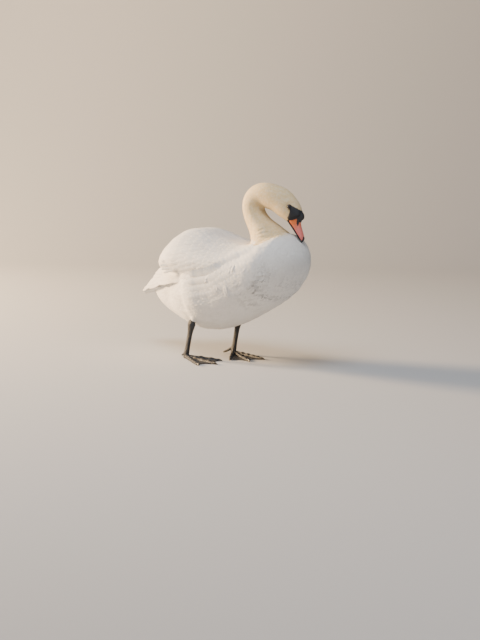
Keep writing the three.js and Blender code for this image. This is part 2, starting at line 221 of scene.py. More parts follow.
skin = joined_flesh()
even = skin.modifiers.new("even", "REMESH")
even.mode = "VOXEL"
even.voxel_size = SKIN_EVEN
even.use_smooth_shade = True
finished(skin)
keep_outermost(skin.data)
ends = edge_ends(skin.data)
write_points(skin.data, relax(read_points(skin.data), ends, SKIN_SMOOTHING))


def surface_of(names):
    """Something to measure the distance to these solids with."""
    whole = bmesh.new()
    for name in names:
        whole.from_mesh(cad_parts[name].data)
    tree = BVHTree.FromBMesh(whole)
    whole.free()
    return tree


def distance_to(tree, points):
    return np.array([tree.find_nearest(Vector(p))[3] for p in points])


points = read_points(skin.data)
far = {
    "body": distance_to(surface_of(["trunk", "tail", "shank_right", "shank_left"]), points),
    "wing": distance_to(surface_of([n for n in FLESH if n.startswith("wing")]), points),
    "neck": distance_to(surface_of(["neck_lower", "neck_upper", "head"]), points),
}
on_neck = (far["neck"] < np.minimum(far["body"], far["wing"])).astype(float)
on_wing = (far["wing"] < np.minimum(far["body"], far["neck"])).astype(float)

spine = smooth_line([tuple(on_bird(*station)) for station in SPINE], SPINE_POINTS)
spine_way = unit(np.gradient(spine, axis=0))
spine_share = np.linspace(0, 1, len(spine))
station_share = [
    float(spine_share[np.argmin(np.linalg.norm(spine - np.array(on_bird(*station)), axis=1))])
    for station in SPINE
]
NECK_BLEND, NEAR_SHARE, OUT_OF_REACH = 0.02, 0.12, 9.0


def near_spine(points, on_neck):
    """For each point: the share along the spine, the spine's place and its way there."""
    gaps = np.linalg.norm(points[:, None, :] - spine[None], axis=2)
    base = station_share[NECK_STATION]
    on_body_part = spine_share <= base + NECK_BLEND
    on_neck_part = spine_share >= base - 2 * NECK_BLEND
    allowed = np.where(on_neck[:, None] > 0.5, on_neck_part[None], on_body_part[None])
    gaps = np.where(allowed, gaps, OUT_OF_REACH)
    least = gaps.min(axis=1, keepdims=True)
    weights = np.exp(-(gaps - least) / (NEAR_SHARE * least + 2 * MM))
    weights /= weights.sum(axis=1, keepdims=True)
    return weights @ spine_share, weights @ spine, unit(weights @ spine_way)


share, middle, way = near_spine(points, on_neck)
lie = unit(relax(-way, ends, 40))
neckness = relax(on_neck * ease(station_share[NECK_STATION], station_share[NECK_FULL], share), ends, 12)
headness = ease(station_share[HEAD_STATION] - NECK_BLEND, station_share[HEAD_STATION] + 0.03, share)

# Shaping of the skin: the thigh's swell, the hollow before the vent and the sunk flank.
SWELLS = [
    ((-120, -128, 200), 44, 9), ((-136, -136, 250), 34, 5), ((-177, -111, 178), 26, -6),
    ((-281, -67, 193), 28, -6), ((-66, 128, 200), 44, 9), ((-90, 140, 250), 34, 5),
    ((-160, 118, 178), 26, -6), ((-281, 67, 193), 28, -6), ((150, -70, 250), 70, 4), ((150, 70, 250), 70, 4),
]  # place, radius, height
# Folds round the neck's root, which run out towards the nape.
CREASES = {"first": 40 * MM, "apart": 11.5 * MM, "deep": 3.2 * MM, "count": 4}

points = read_points(skin.data)
normals = read_normals(skin.data)
for place, radius, height in SWELLS:
    gap = np.linalg.norm(points - np.array(on_bird(*place)), axis=1) / (radius * MM)
    points += normals * (height * MM * np.exp(-gap**2))[:, None]

spine_length = float(np.linalg.norm(np.diff(spine, axis=0), axis=1).sum())
fold = ((share - station_share[NECK_STATION]) * spine_length - CREASES["first"]) / CREASES["apart"]
folded = ease(-0.5, 0.5, fold) * (1 - ease(CREASES["count"] - 0.5, CREASES["count"] + 0.5, fold))
throat_side = ease(-0.3, 0.5, unit(points - middle)[:, 0])
wave = (1 - np.cos(2 * math.pi * fold)) / 2
only_neck = ease(0.3, 0.7, relax(on_neck, ends, 4))
points -= normals * (CREASES["deep"] * wave * folded * throat_side * only_neck)[:, None]

# Short uneven ripples low on the breast, where the feathers part in rows. Their troughs also get a painted
# grey shade.
RIPPLES = {"apart": 12.5, "high": 3.0, "radius": 72, "at": (150, 84, 262), "grey": 1.7}
along, aside, up = ((points - np.array(on_bird(0, 0, 0))) / MM).T
wander = 2.1 * np.sin(along / 17 + up / 23), 1.7 * np.sin(aside / 13 - up / 31)
phase = 2 * math.pi * up / RIPPLES["apart"] + wander[0] + wander[1]
broken = 0.55 + 0.45 * np.sin(along / 11 + 1.3 * np.sin(up / 19))
parted = np.zeros(len(points))
for side in (-1, 1):
    middle_of = np.array((RIPPLES["at"][0], side * RIPPLES["at"][1], RIPPLES["at"][2]))
    gap = np.linalg.norm(np.stack((along, aside, up), 1) - middle_of, axis=1) / RIPPLES["radius"]
    ripple = np.sin(phase) * broken * np.exp(-(gap**2))
    points += normals * (RIPPLES["high"] * MM * ripple)[:, None]
    # Painted shade: grey in the ripples' troughs, carried on to the plumage's finish.
    parted += np.clip(-RIPPLES["grey"] * ripple, 0, 1)

# The socket that each eye lies in.
SOCKET = {"radius": 10 * MM, "deep": 3.2 * MM}
for side in (-1, 1):
    eye_at = np.array(on_bill(EYE_ON_BILL.x / MM, side * EYE_ON_BILL.y / MM, EYE_ON_BILL.z / MM))
    gap = np.linalg.norm(points - eye_at, axis=1) / SOCKET["radius"]
    points -= normals * (SOCKET["deep"] * np.exp(-(gap**2) * 1.2))[:, None]

depth = PLUMAGE_DEPTH["body"] + (PLUMAGE_DEPTH["neck"] - PLUMAGE_DEPTH["body"]) * neckness
depth += (PLUMAGE_DEPTH["head"] - PLUMAGE_DEPTH["neck"]) * headness
points -= normals * (depth + SKIN_SWELL)[:, None]
write_points(skin.data, relax(points, ends, 1, 0.4))

outward = read_normals(skin.data)
lie = unit(lie - outward * (lie * outward).sum(1, keepdims=True))

# Marks that the skin and the plumage share: the buff of head and neck, and where feathers grow.
STAIN_STARTS, STAIN_FULL = -0.05, 0.06  # shares of the spine past the root of the neck
STAIN_SPREAD = 30  # rounds of evening out
BARE_FACE = [
    (-49, 6.5), (-45.5, 10.5), (-40, 15), (-31, 22), (-20, 29.5), (-12, 35), (0, 40), (14, 40),
    (14, -20), (0, -21), (-10.6, -14), (-17, -8), (-23.3, -2), (-29, 2.2), (-34, 2.6), (-39, -1.5),
    (-44, -2.5), (-48, 0.5),
]  # outline of the black skin before the eye, along the bill and towards the culmen


def inside(outline, along, up):
    """1 for each place inside the outline, 0 outside."""
    crossings = np.zeros(len(along), int)
    for (x1, y1), (x2, y2) in zip(outline, outline[1:] + outline[:1]):
        between = (y1 > up) != (y2 > up)
        slope = (x2 - x1) / (y2 - y1) if y2 != y1 else 0.0
        crossings += between & (along < x1 + (up - y1) * slope)
    return (crossings % 2).astype(float)


def to_bill(points):
    """Places along the bill, to the bird's left and towards the culmen, in millimetres."""
    turned = np.array(BILL_TURNED)
    return (points - np.array(BILL_AT)) @ turned / MM


points = read_points(skin.data)
by_bill = to_bill(points)
bare = inside(BARE_FACE, by_bill[:, 0], by_bill[:, 2]) * headness
stain_reach = share - station_share[NECK_STATION]
stain = np.clip(1.9 * relax(on_neck, ends, STAIN_SPREAD), 0, 1)
stain *= ease(STAIN_STARTS, STAIN_FULL, stain_reach)
grown = 1 - ease(0.0, 0.35, relax(bare, ends, 1))

# Length of the small feathers in millimetres: on the body, at the stations up the neck, on the thigh.
BODY_LENGTH, SHORTER_AHEAD, LONGER_BEHIND, THIGH_LENGTH = 27, 9, 3, 13
NECK_LENGTHS = {NECK_STATION: 18, NECK_FULL: 12, NECK_TOP: 10, HEAD_STATION: 7.5, FACE_STATION: 5}
forward = (points[:, 0] - CENTRE.x) / MM
feather_length = BODY_LENGTH - SHORTER_AHEAD * ease(40, 190, forward)
feather_length += LONGER_BEHIND * ease(60, 250, -forward)
neck_length = np.interp(share, [station_share[i] for i in NECK_LENGTHS], list(NECK_LENGTHS.values()))
feather_length += (neck_length - feather_length) * relax(on_neck, ends, 15)

# On the thighs the feathers are short and lie down the leg.
THIGHS = {"right": ((-126, -90, 158), (-150, -98, 119)), "left": ((-74, 76, 150), (-98, 78, 118))}
THIGH_THICK = (26 * MM, 36 * MM)  # distance from the line of knee and ankle over which the thigh ends
for knee, ankle in THIGHS.values():
    top, way_down = np.array(on_bird(*knee)), np.array(on_bird(*ankle)) - np.array(on_bird(*knee))
    run = np.clip(((points - top) @ way_down) / (way_down @ way_down), -0.3, 1)
    aside = np.linalg.norm(points - top - run[:, None] * way_down, axis=1)
    on_thigh = (1 - ease(*THIGH_THICK, aside)) * ease(-0.3, 0.2, run)
    lie = unit(lie + on_thigh[:, None] * (unit(way_down) * 3 - lie))
    feather_length += on_thigh * (THIGH_LENGTH - feather_length)
lie = unit(lie - outward * (lie * outward).sum(1, keepdims=True))

# How thickly each zone's feathers grow at a place, from 0 to 1.
neck_part, head_part = np.clip(relax(on_neck, ends, 3), 0, 1), ease(0.35, 0.65, headness)
off_wing = 1 - np.clip(relax(on_wing, ends, 2), 0, 1)
breast_part = ease(60, 110, forward)
cover = {
    "head": grown * head_part,
    "neck": grown * neck_part * (1 - head_part),
    "breast": (1 - neck_part) * breast_part,
    "body": (1 - neck_part) * (1 - breast_part) * off_wing,
}

around = points - middle
left = unit(np.array((0, 1, 0)) - way * way[:, 1:2])
dorsal = np.cross(way, left)
turn_share = 0.5 + np.arctan2((around * left).sum(1), (around * dorsal).sum(1)) / (2 * math.pi)

for name, values in (("outward", outward), ("lie", lie)):
    store(skin.data, name, values, "FLOAT_VECTOR")
notes = {"stain": stain, "bare": bare, "parted": parted, "feather_length": feather_length * MM}
notes |= {"cover_" + zone: values for zone, values in cover.items()}
for name, values in notes.items():
    store(skin.data, name, values)

# The skin opened flat: its share along the spine against its share round it, cut along the belly.
corner_point = np.empty(len(skin.data.loops), np.int64)
skin.data.loops.foreach_get("vertex_index", corner_point)
face_count = len(skin.data.polygons)
face_of_corner = np.repeat(np.arange(face_count), [len(face.vertices) for face in skin.data.polygons])
round_share = turn_share[corner_point]
lowest, highest = np.ones(face_count), np.zeros(face_count)
np.minimum.at(lowest, face_of_corner, round_share)
np.maximum.at(highest, face_of_corner, round_share)
round_share = round_share + ((highest - lowest)[face_of_corner] > 0.5) * (round_share < 0.5)
flat_skin = np.stack([0.02 + 0.96 * share[corner_point], 0.02 + 0.9 * round_share], 1)
store(skin.data, "flat_skin", flat_skin, "FLOAT2", "CORNER")
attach(skin, "root")
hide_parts(*FLESH)

# ---------------------------------------------------------------- plumage
# White feathers, buff on head and neck, each a thin vane with a shaft and fine barbs. The finish is
# the same for skin and feathers, so that the skin doesn't show where they part.
# The two darker whites are painted shade: feathers turn to them at their roots and rims, and also by their
# random tone.
WHITE, SHADED_WHITE, DEEP_SHADE_WHITE = (0.86, 0.845, 0.81), (0.72, 0.70, 0.67), (0.60, 0.575, 0.54)
BUFF, DEEP_BUFF = (0.82, 0.635, 0.34), (0.56, 0.40, 0.19)
# The grey below is painted shade for the troughs of the breast's ripples.
BARE_BLACK, TROUGH_SHADE_GREY = (0.012, 0.013, 0.016), (0.34, 0.325, 0.31)
OFBAKE_PATCH = 0.003


def node(tree, kind, given=(), **settings):
    """A new node whose given sockets are joined to another node's or hold a plain value."""
    made = tree.nodes.new(kind)
    for name, setting in settings.items():
        setattr(made, name, setting)
    for socket, value in dict(given).items():
        if isinstance(value, bpy.types.NodeSocket):
            tree.links.new(value, made.inputs[socket])
        else:
            made.inputs[socket].default_value = value
    return made


def calculate(tree, operation, *given):
    return node(tree, "ShaderNodeMath", enumerate(given), operation=operation).outputs[0]


def value_of(tree, name, kind="Fac"):
    return node(tree, "ShaderNodeAttribute", attribute_name=name).outputs[kind]


def blend(tree, share, first, second):
    """A colour between two, by a share that changes over the surface."""
    given = {"Factor": share}
    for socket, colour in ((6, first), (7, second)):
        given[socket] = (*colour, 1) if isinstance(colour, tuple) else colour
    return node(tree, "ShaderNodeMix", given, data_type="RGBA").outputs[2]


def mottle(tree, scale, detail=3.0):
    place = node(tree, "ShaderNodeTexCoord").outputs["Object"]
    given = {"Scale": scale, "Detail": detail, "Vector": place}
    return node(tree, "ShaderNodeTexNoise", given).outputs["Fac"]


def new_finish(name, strength, relief):
    """A material, its shader, and the bump that gives it relief to this depth in metres."""
    material = bpy.data.materials.new(name)
    material.use_nodes = True
    tree = material.node_tree
    shader = tree.nodes["Principled BSDF"]
    bump = node(tree, "ShaderNodeBump", {"Strength": strength, "Distance": relief})
    tree.links.new(bump.outputs["Normal"], shader.inputs["Normal"])
    return material, tree, shader, bump


def feather_marks_group():
    """Painted shade of one feather, darker at its root under the feather above and at its rims, with its own
    random tone added; and its barb height, from its own place.
    """
    group = bpy.data.node_groups.new("feather_marks", "ShaderNodeTree")
    group.interface.new_socket("Barbs", in_out="INPUT", socket_type="NodeSocketFloat")
    for name in ("Shade", "Height"):
        group.interface.new_socket(name, in_out="OUTPUT", socket_type="NodeSocketFloat")
    given = node(group, "NodeGroupInput")
    split = node(group, "ShaderNodeSeparateXYZ", {0: value_of(group, "vane", "Vector")})
    along, across = split.outputs[0], split.outputs[1]
    aside = calculate(group, "ABSOLUTE", calculate(group, "SUBTRACT", across, 0.5))
    slant = calculate(group, "MULTIPLY", calculate(group, "SUBTRACT", along, aside), given.outputs["Barbs"])
    barb = calculate(group, "SINE", calculate(group, "MULTIPLY", slant, 2 * math.pi))
    shaft = calculate(group, "SMOOTH_MIN", calculate(group, "MULTIPLY", aside, 14.0), 1.0, 0.3)
    grown = calculate(group, "SMOOTH_MIN", calculate(group, "MULTIPLY", along, 1.6), 1.0, 0.2)
    # Painted shadow: darker towards the root, which the feather above covers.
    root_shade = calculate(group, "MULTIPLY", calculate(group, "SUBTRACT", 1.0, grown), 0.5)
    shade = calculate(group, "ADD", calculate(group, "MULTIPLY", value_of(group, "tone"), 0.35), root_shade)
    # Painted shade: darker towards the vane's rims, where feathers shade one another's edges.
    shade = calculate(group, "ADD", shade, calculate(group, "MULTIPLY", value_of(group, "rim"), 0.9))
    height = calculate(group, "SUBTRACT", calculate(group, "MULTIPLY", barb, 0.18), shaft)
    node(group, "NodeGroupOutput", {"Shade": shade, "Height": height})
    return group


feather_marks = feather_marks_group()


def plumage_finish(name, barbs, relief, shaded):
    """Feathers with this many barbs along a vane, this depth of relief in metres and this colour for their
    painted shade at roots and rims and their darker random tone.
    """
    material, tree, shader, bump = new_finish(name, 0.5, relief)
    marks = node(tree, "ShaderNodeGroup", node_tree=feather_marks)
    marks.inputs["Barbs"].default_value = barbs
    patchy = calculate(tree, "MULTIPLY", calculate(tree, "MULTIPLY", mottle(tree, 26.0), 0.5), 0.5)
    shade = calculate(tree, "ADD", calculate(tree, "MULTIPLY", marks.outputs["Shade"], 0.6), patchy)
    white, buff = blend(tree, shade, WHITE, shaded), blend(tree, shade, BUFF, DEEP_BUFF)
    grainy = calculate(tree, "ADD", 0.40, calculate(tree, "MULTIPLY", mottle(tree, 120.0, 2.0), 1.1))
    stained = blend(tree, calculate(tree, "MULTIPLY", value_of(tree, "stain"), grainy), white, buff)
    # Painted grey shade in the troughs of the breast's ripples.
    plumed = blend(tree, value_of(tree, "parted"), stained, TROUGH_SHADE_GREY)
    tree.links.new(blend(tree, value_of(tree, "bare"), plumed, BARE_BLACK), shader.inputs["Base Color"])
    tree.links.new(marks.outputs["Height"], bump.inputs["Height"])
    shader.inputs["Roughness"].default_value = 0.72
    shader.inputs["Sheen Weight"].default_value = 0.15
    return material


small_plumage = plumage_finish("small_feathers", 14.0, 0.00025, SHADED_WHITE)
skin.data.materials.clear()
skin.data.materials.append(small_plumage)

# Small feathers over head, neck, breast, belly, flanks and back. Each grows from the skin and lies
# down along it towards the tail; they are shortest on the face and longest on the flanks.
VANE_STATIONS = [(0.0, 0.07), (0.22, 0.22), (0.48, 0.32), (0.72, 0.32), (0.90, 0.20), (1.0, 0.03)]
VANE_RIDGE = 0.03


def small_vane():
    """One feather of length 1: a thin three-sided vane, its middle raised over its two edges."""
    corners, places, faces = [], [], []
    for along, half in VANE_STATIONS:
        for across in (-1, 0, 1):
            corners.append((along, across * half, VANE_RIDGE * (across == 0)))
            places.append((along, 0.5 + across * half, float(across == 0)))
    for i in range(len(VANE_STATIONS) - 1):
        a = 3 * i
        faces += [(a, a + 3, a + 4, a + 1), (a + 1, a + 4, a + 5, a + 2), (a + 2, a + 5, a + 3, a)]
    last = 3 * (len(VANE_STATIONS) - 1)
    faces += [(0, 1, 2), (last + 2, last + 1, last)]
    mesh = bpy.data.meshes.new("vane")
    mesh.from_pydata(corners, [], faces)
    store(mesh, "vane", places, "FLOAT_VECTOR")
    mesh.polygons.foreach_set("use_smooth", [True] * len(faces))
    rims = [tuple(sorted(edge.vertices)) for edge in mesh.edges]
    sharp = [abs(b - a) == 3 and a % 3 != 1 or (b - a) == 2 for a, b in rims]
    mesh.attributes.new("sharp_edge", "BOOLEAN", "EDGE").data.foreach_set("value", sharp)
    return shown("vane", mesh)


def new_tree(name, sockets, result):
    """A tree for geometry with these named inputs and one named result."""
    tree = bpy.data.node_groups.new(name, "GeometryNodeTree")
    for socket, kind in sockets.items():
        tree.interface.new_socket(socket, in_out="INPUT", socket_type="NodeSocket" + kind)
    tree.interface.new_socket(result, in_out="OUTPUT", socket_type="NodeSocketGeometry")
    return tree, node(tree, "NodeGroupInput").outputs


def input_ids(tree):
    return {item.name: item.identifier for item in tree.interface.items_tree if item.in_out == "INPUT"}


def named(tree, name, kind="FLOAT"):
    """A value that the mesh or its points carry under this name."""
    note = node(tree, "GeometryNodeInputNamedAttribute", {"Name": name}, data_type=kind)
    return note.outputs["Attribute"]


def laid_down(tree, upwards, onwards):
    """The turn that sets a form's top upwards and its front onwards, by two named values."""
    given = {}
    for axis, pivot, name in (("Z", "AUTO", upwards), ("X", "Z", onwards)):
        given["Vector"] = named(tree, name, "FLOAT_VECTOR")
        turn = node(tree, "FunctionNodeAlignRotationToVector", given, axis=axis, pivot_axis=pivot)
        given["Rotation"] = turn.outputs["Rotation"]
    return given["Rotation"]


def made_real(tree, given):
    """Forms set on points, as plain mesh."""
    placed = node(tree, "GeometryNodeInstanceOnPoints", given).outputs["Instances"]
    return node(tree, "GeometryNodeRealizeInstances", {"Geometry": placed}).outputs["Geometry"]


def given_finish(tree, geometry, finish, result):
    """The tree's end: its geometry with its material."""
    clothed = node(tree, "GeometryNodeSetMaterial", {"Geometry": geometry, "Material": finish})
    node(tree, "NodeGroupOutput", {result: clothed.outputs["Geometry"]})
    return tree


def coat_tree():
    """Grows vanes on a skin: spread over a zone, turned to the lie, bent to the skin and lifted."""
    sockets = {
        "Skin": "Geometry", "Vane": "Object", "Zone": "String", "Apart": "Float", "Lift": "Float",
        "Ruffle": "Float", "Width share": "Float", "Seed": "Int", "Finish": "Material",
    }
    tree, given = new_tree("small_feather_coat", sockets, "Feathers")

    def sum_of(*values):
        return calculate(tree, "ADD", *values)

    def product(first, *others):
        for other in others:
            first = calculate(tree, "MULTIPLY", first, other)
        return first

    def chance(low, high, seed):
        drawn = {2: low, 3: high, "Seed": sum_of(given["Seed"], seed)}
        return node(tree, "FunctionNodeRandomValue", drawn, data_type="FLOAT").outputs[1]

    def keep(geometry, name, value, kind="FLOAT", domain="POINT"):
        kept = {"Geometry": geometry, "Name": name, "Value": value}
        return node(tree, "GeometryNodeStoreNamedAttribute", kept, data_type=kind, domain=domain).outputs[0]

    def vector(operation, given, result=0):
        return node(tree, "ShaderNodeVectorMath", given, operation=operation).outputs[result]

    density = calculate(tree, "DIVIDE", 2.2, product(given["Apart"], given["Apart"]))
    spread = node(tree, "GeometryNodeDistributePointsOnFaces", {
        "Mesh": given["Skin"], "Distance Min": given["Apart"], "Density Max": density,
        "Density Factor": named(tree, given["Zone"]), "Seed": given["Seed"],
    }, distribute_method="POISSON")
    swing = node(tree, "ShaderNodeCombineXYZ", {"Z": product(chance(-1.0, 1.0, 1), given["Ruffle"])})
    askew = node(tree, "FunctionNodeEulerToRotation", {0: swing.outputs[0]}).outputs["Rotation"]
    turned = node(tree, "FunctionNodeRotateRotation", {
        "Rotation": laid_down(tree, "outward", "lie"), "Rotate By": askew,
    }, rotation_space="LOCAL")

    points = keep(spread.outputs["Points"], "tone", chance(0.0, 1.0, 2))
    points = keep(points, "raised", chance(0.55, 1.35, 3))
    points = keep(points, "long", product(named(tree, "feather_length"), chance(0.85, 1.15, 4)))
    vane_of = node(tree, "GeometryNodeObjectInfo", {"Object": given["Vane"]}, transform_space="ORIGINAL")
    long = named(tree, "long")
    wide = product(long, given["Width share"])
    size = node(tree, "ShaderNodeCombineXYZ", {"X": long, "Y": wide, "Z": long})
    grown = made_real(tree, {
        "Points": points, "Instance": vane_of.outputs["Geometry"],
        "Rotation": turned.outputs["Rotation"], "Scale": size.outputs[0],
    })

    nearest = node(tree, "GeometryNodeProximity", {0: given["Skin"]}, target_element="FACES")
    up = node(tree, "GeometryNodeSampleNearestSurface", {
        "Mesh": given["Skin"], "Value": named(tree, "outward", "FLOAT_VECTOR"),
    }, data_type="FLOAT_VECTOR")
    place = named(tree, "vane", "FLOAT_VECTOR")
    here = node(tree, "ShaderNodeSeparateXYZ", {0: place})
    rise = product(here.outputs[0], product(given["Lift"], long), named(tree, "raised"))
    high = sum_of(sum_of(rise, product(here.outputs[2], long, 0.028)), -0.0002)
    offset = vector("SCALE", {0: up.outputs["Value"], "Scale": high})
    lifted = vector("ADD", {0: nearest.outputs["Position"], 1: offset})
    bent = node(tree, "GeometryNodeSetPosition", {"Geometry": grown, "Position": lifted})
    patch = vector("SCALE", {0: place, "Scale": OFBAKE_PATCH})
    on_map = vector("ADD", {0: named(tree, "flat_skin", "FLOAT_VECTOR"), 1: patch})
    mapped = keep(bent.outputs["Geometry"], "OFBake", on_map, "FLOAT2", "CORNER")
    return given_finish(tree, mapped, given["Finish"], "Feathers")


SMALL_FEATHERS = {
    "head": {"Apart": 2.2 * MM, "Lift": 0.055, "Ruffle": 0.15, "Seed": 11, "Width share": 0.9},
    "neck": {"Apart": 3.1 * MM, "Lift": 0.055, "Ruffle": 0.16, "Seed": 12, "Width share": 0.9},
    "breast": {"Apart": 4.8 * MM, "Lift": 0.045, "Ruffle": 0.24, "Seed": 13, "Width share": 0.78},
    "body": {"Apart": 6.6 * MM, "Lift": 0.052, "Ruffle": 0.24, "Seed": 14, "Width share": 0.78},
}  # distance apart, lift of the tip and width as shares of the length, slant at random in radians
FEATHER_NOTES = ("outward", "lie", "feather_length", "flat_skin", "raised", "long", "bare")
vane = small_vane()
feather_coat = coat_tree()


def grown_on(name, mesh, tree, given):
    """What a tree makes of a mesh with these inputs, as one plain mesh."""
    piece = shown(name, mesh)
    growth = piece.modifiers.new("growth", "NODES")
    growth.node_group = tree
    for socket, value in given.items():
        growth[input_ids(tree)[socket]] = value
    return finished(piece)


for zone, look in SMALL_FEATHERS.items():
    look |= {"Vane": vane, "Zone": "cover_" + zone, "Finish": small_plumage}
    coat = grown_on("feathers_" + zone, skin.data.copy(), feather_coat, look)
    for layer in [attribute.name for attribute in coat.data.attributes]:
        if layer in FEATHER_NOTES or layer.startswith("cover_"):
            coat.data.attributes.remove(coat.data.attributes[layer])
    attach(coat, "root")
bpy.data.objects.remove(vane)

# ---------------------------------------------------------------- folded wings
# Each wing lies folded on the body under rows of overlapping feathers, short over the shoulder and
# longer row by row to the long secondaries, whose rounded tips close the wing over the rump.
WING_LIMITS = [
    (104, 44, 58), (70, 34, 73), (10, 22, 86), (-70, 13, 89), (-150, 10, 89.5), (-215, 11, 89.5),
    (-265, 19, 89), (-298, 27, 87), (-315, 34, 80),
]  # forward place, lowest and highest angle up round the body
WING = {"front": 96, "rear": -315, "long": (26, 122), "wide": (19, 35), "lift": (1.6, 4.2), "tilt": 0.0084}
BODY_LEVEL = 255  # height that the angles are measured from
ROW_OVERLAP, SIDE_OVERLAP, LAST_ROW, LENGTHENING, AIM = 0.40, 0.60, 0.86, 1.25, 12
VANE_OUTLINE = [
    (0.0, 0.30), (0.12, 0.62), (0.26, 0.86), (0.42, 0.97), (0.58, 1.0), (0.72, 0.97),
    (0.83, 0.86), (0.91, 0.68), (0.965, 0.44), (1.0, 0.08),
]  # share of the length, share of the half-width
VANE_ACROSS = (-1.0, -0.5, 0.0, 0.5, 1.0)
VANE_THICK, VANE_CROWN, VANE_SINK = 0.5, 0.05, 0.3
VANE_STIFF, VANE_DRAPE = 0.35, 9  # share of a step that a shaft stands off, and how far its sides reach

skin_form = bmesh.new()
skin_form.from_mesh(skin.data)
skin_tree = BVHTree.FromBMesh(skin_form)
skin_form.free()


def by_face(values):
    """The mean of a value of the skin's face corners over each face."""
    total = np.zeros((face_count,) + values.shape[1:])
    np.add.at(total, face_of_corner, values)
    return (total.T / np.bincount(face_of_corner, minlength=face_count)).T


flat_of_face, stain_of_face = by_face(flat_skin), by_face(stain[corner_point])
luck = np.random.default_rng(5)


def mix(pair, share_of):
    return pair[0] + (pair[1] - pair[0]) * share_of


def at_station(table, x):
    """A table's values at a place, its stations being in either order."""
    columns = list(zip(*sorted(table)))
    return [float(np.interp(x, columns[0], column)) for column in columns[1:]]


def walk(bed, root, way, long):
    """Places, normals and ways of a feather's shaft, laid along its bed from its root."""
    place, normal, _, _ = bed.find_nearest(root)
    heading = (way - normal * way.dot(normal)).normalized()
    shares = [share_along for share_along, _ in VANE_OUTLINE]
    line = [(place, normal, heading)]
    for before, after in zip(shares, shares[1:]):
        step = long * (after - before)
        ahead_of = place + heading * step
        hit, up, _, gap = bed.find_nearest(ahead_of)
        if gap < VANE_STIFF * step + 0.4 * MM and normal.dot(up) > 0.4:
            normal = (normal * 0.5 + up * 0.5).normalized()
            place = hit
        else:
            place = ahead_of
        heading = (heading - normal * heading.dot(normal)).normalized()
        line.append((place, normal, heading))
    return line


def plate_faces(rows, across):
    """Faces of a thin plate whose corners run row by row, each with its upper and its lower place."""
    def corner(i, j):
        return 2 * (i * across + j)

    faces = []
    for i in range(rows - 1):
        for j in range(across - 1):
            a, b, c, d = corner(i, j), corner(i + 1, j), corner(i + 1, j + 1), corner(i, j + 1)
            faces += [(a, b, c, d), (a + 1, d + 1, c + 1, b + 1)]
    rim = [corner(i, 0) for i in range(rows)] + [corner(rows - 1, j) for j in range(1, across)]
    rim += [corner(i, across - 1) for i in range(rows - 2, -1, -1)]
    rim += [corner(0, j) for j in range(across - 2, 0, -1)]
    return faces + [(a, a + 1, b + 1, b) for a, b in zip(rim, rim[1:] + rim[:1])]


def feather(root, aim, wide, lift, long=None, share_of=1, beyond=0, sink=VANE_SINK):
    """A feather from its root towards a place, as far as that place unless its length is given."""
    span = aim - root
    length = span.length * share_of if long is None else long * MM
    return root, span.normalized(), length + beyond * MM, wide * MM, lift * MM, sink * MM


def lay_feathers(name, plans, finish, bed=skin_tree):
    """One mesh of feathers laid on a bed, each by its plan."""
    pattern = plate_faces(len(VANE_OUTLINE), len(VANE_ACROSS))
    corners, vanes, tones, stains, patches, rims = [], [], [], [], [], []
    for root, way, long, wide, lift, sink in plans:
        shaft = walk(bed, root, way, long)
        _, _, root_face, _ = skin_tree.find_nearest(root)
        tone = luck.random()
        raised = lift * (0.75 + 0.5 * luck.random())
        for (along, spread), (place, normal, heading) in zip(VANE_OUTLINE, shaft):
            beside = normal.cross(heading)
            for across in VANE_ACROSS:
                side_place = place + beside * (across * spread * wide / 2)
                hit, up, _, gap = bed.find_nearest(side_place)
                if gap < VANE_DRAPE * MM and up.dot(normal) > 0.25:
                    side_place = hit
                crown = wide * VANE_CROWN * (1 - across**2) * spread
                top = side_place + normal * (raised * along**1.3 + crown - sink)
                corners += [tuple(top), tuple(top - normal * VANE_THICK * MM)]
                vanes += [(along, 0.5 + across * spread / 2, 0)] * 2
                # Painted shade towards the vane's sides and tip, which the finish reads as rim shading.
                rims += [abs(across) ** 3 * (0.35 + 0.65 * along)] * 2
        count = 2 * len(VANE_OUTLINE) * len(VANE_ACROSS)
        tones += [tone] * count
        stains += [stain_of_face[root_face]] * count
        patches += [tuple(flat_of_face[root_face])] * count
    first = np.arange(0, len(corners), count)[:, None, None]
    faces = (first + np.array(pattern)).reshape(-1, 4).tolist()
    mesh = bpy.data.meshes.new(name)
    mesh.from_pydata(corners, [], faces)
    store(mesh, "vane", vanes, "FLOAT_VECTOR")
    for note, values in (("tone", tones), ("rim", rims), ("stain", stains)):
        store(mesh, note, values)
    corner = np.empty(len(mesh.loops), np.int64)
    mesh.loops.foreach_get("vertex_index", corner)
    patch = np.array(patches)[corner] + OFBAKE_PATCH * np.array(vanes)[corner][:, :2]
    store(mesh, "OFBake", patch, "FLOAT2", "CORNER")
    mesh.polygons.foreach_set("use_smooth", [True] * len(faces))
    mesh.set_sharp_from_angle(angle=math.radians(50))
    mesh.materials.append(finish)
    piece = shown(name, mesh)
    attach(piece, "root")


def flank_place(side, x, degrees):
    """A place on the skin at an angle up round the body, seen from the body's middle."""
    angle = math.radians(degrees)
    out = Vector((0, side * math.cos(angle), math.sin(angle)))
    hit, _, _, _ = skin_tree.ray_cast(on_bird(x, 0, BODY_LEVEL), out)
    return hit


def wing_place(side, x, share_up):
    """A place on the folded wing's skin, from its lower edge to its upper."""
    return flank_place(side, x, mix(at_station(WING_LIMITS, x), share_up))


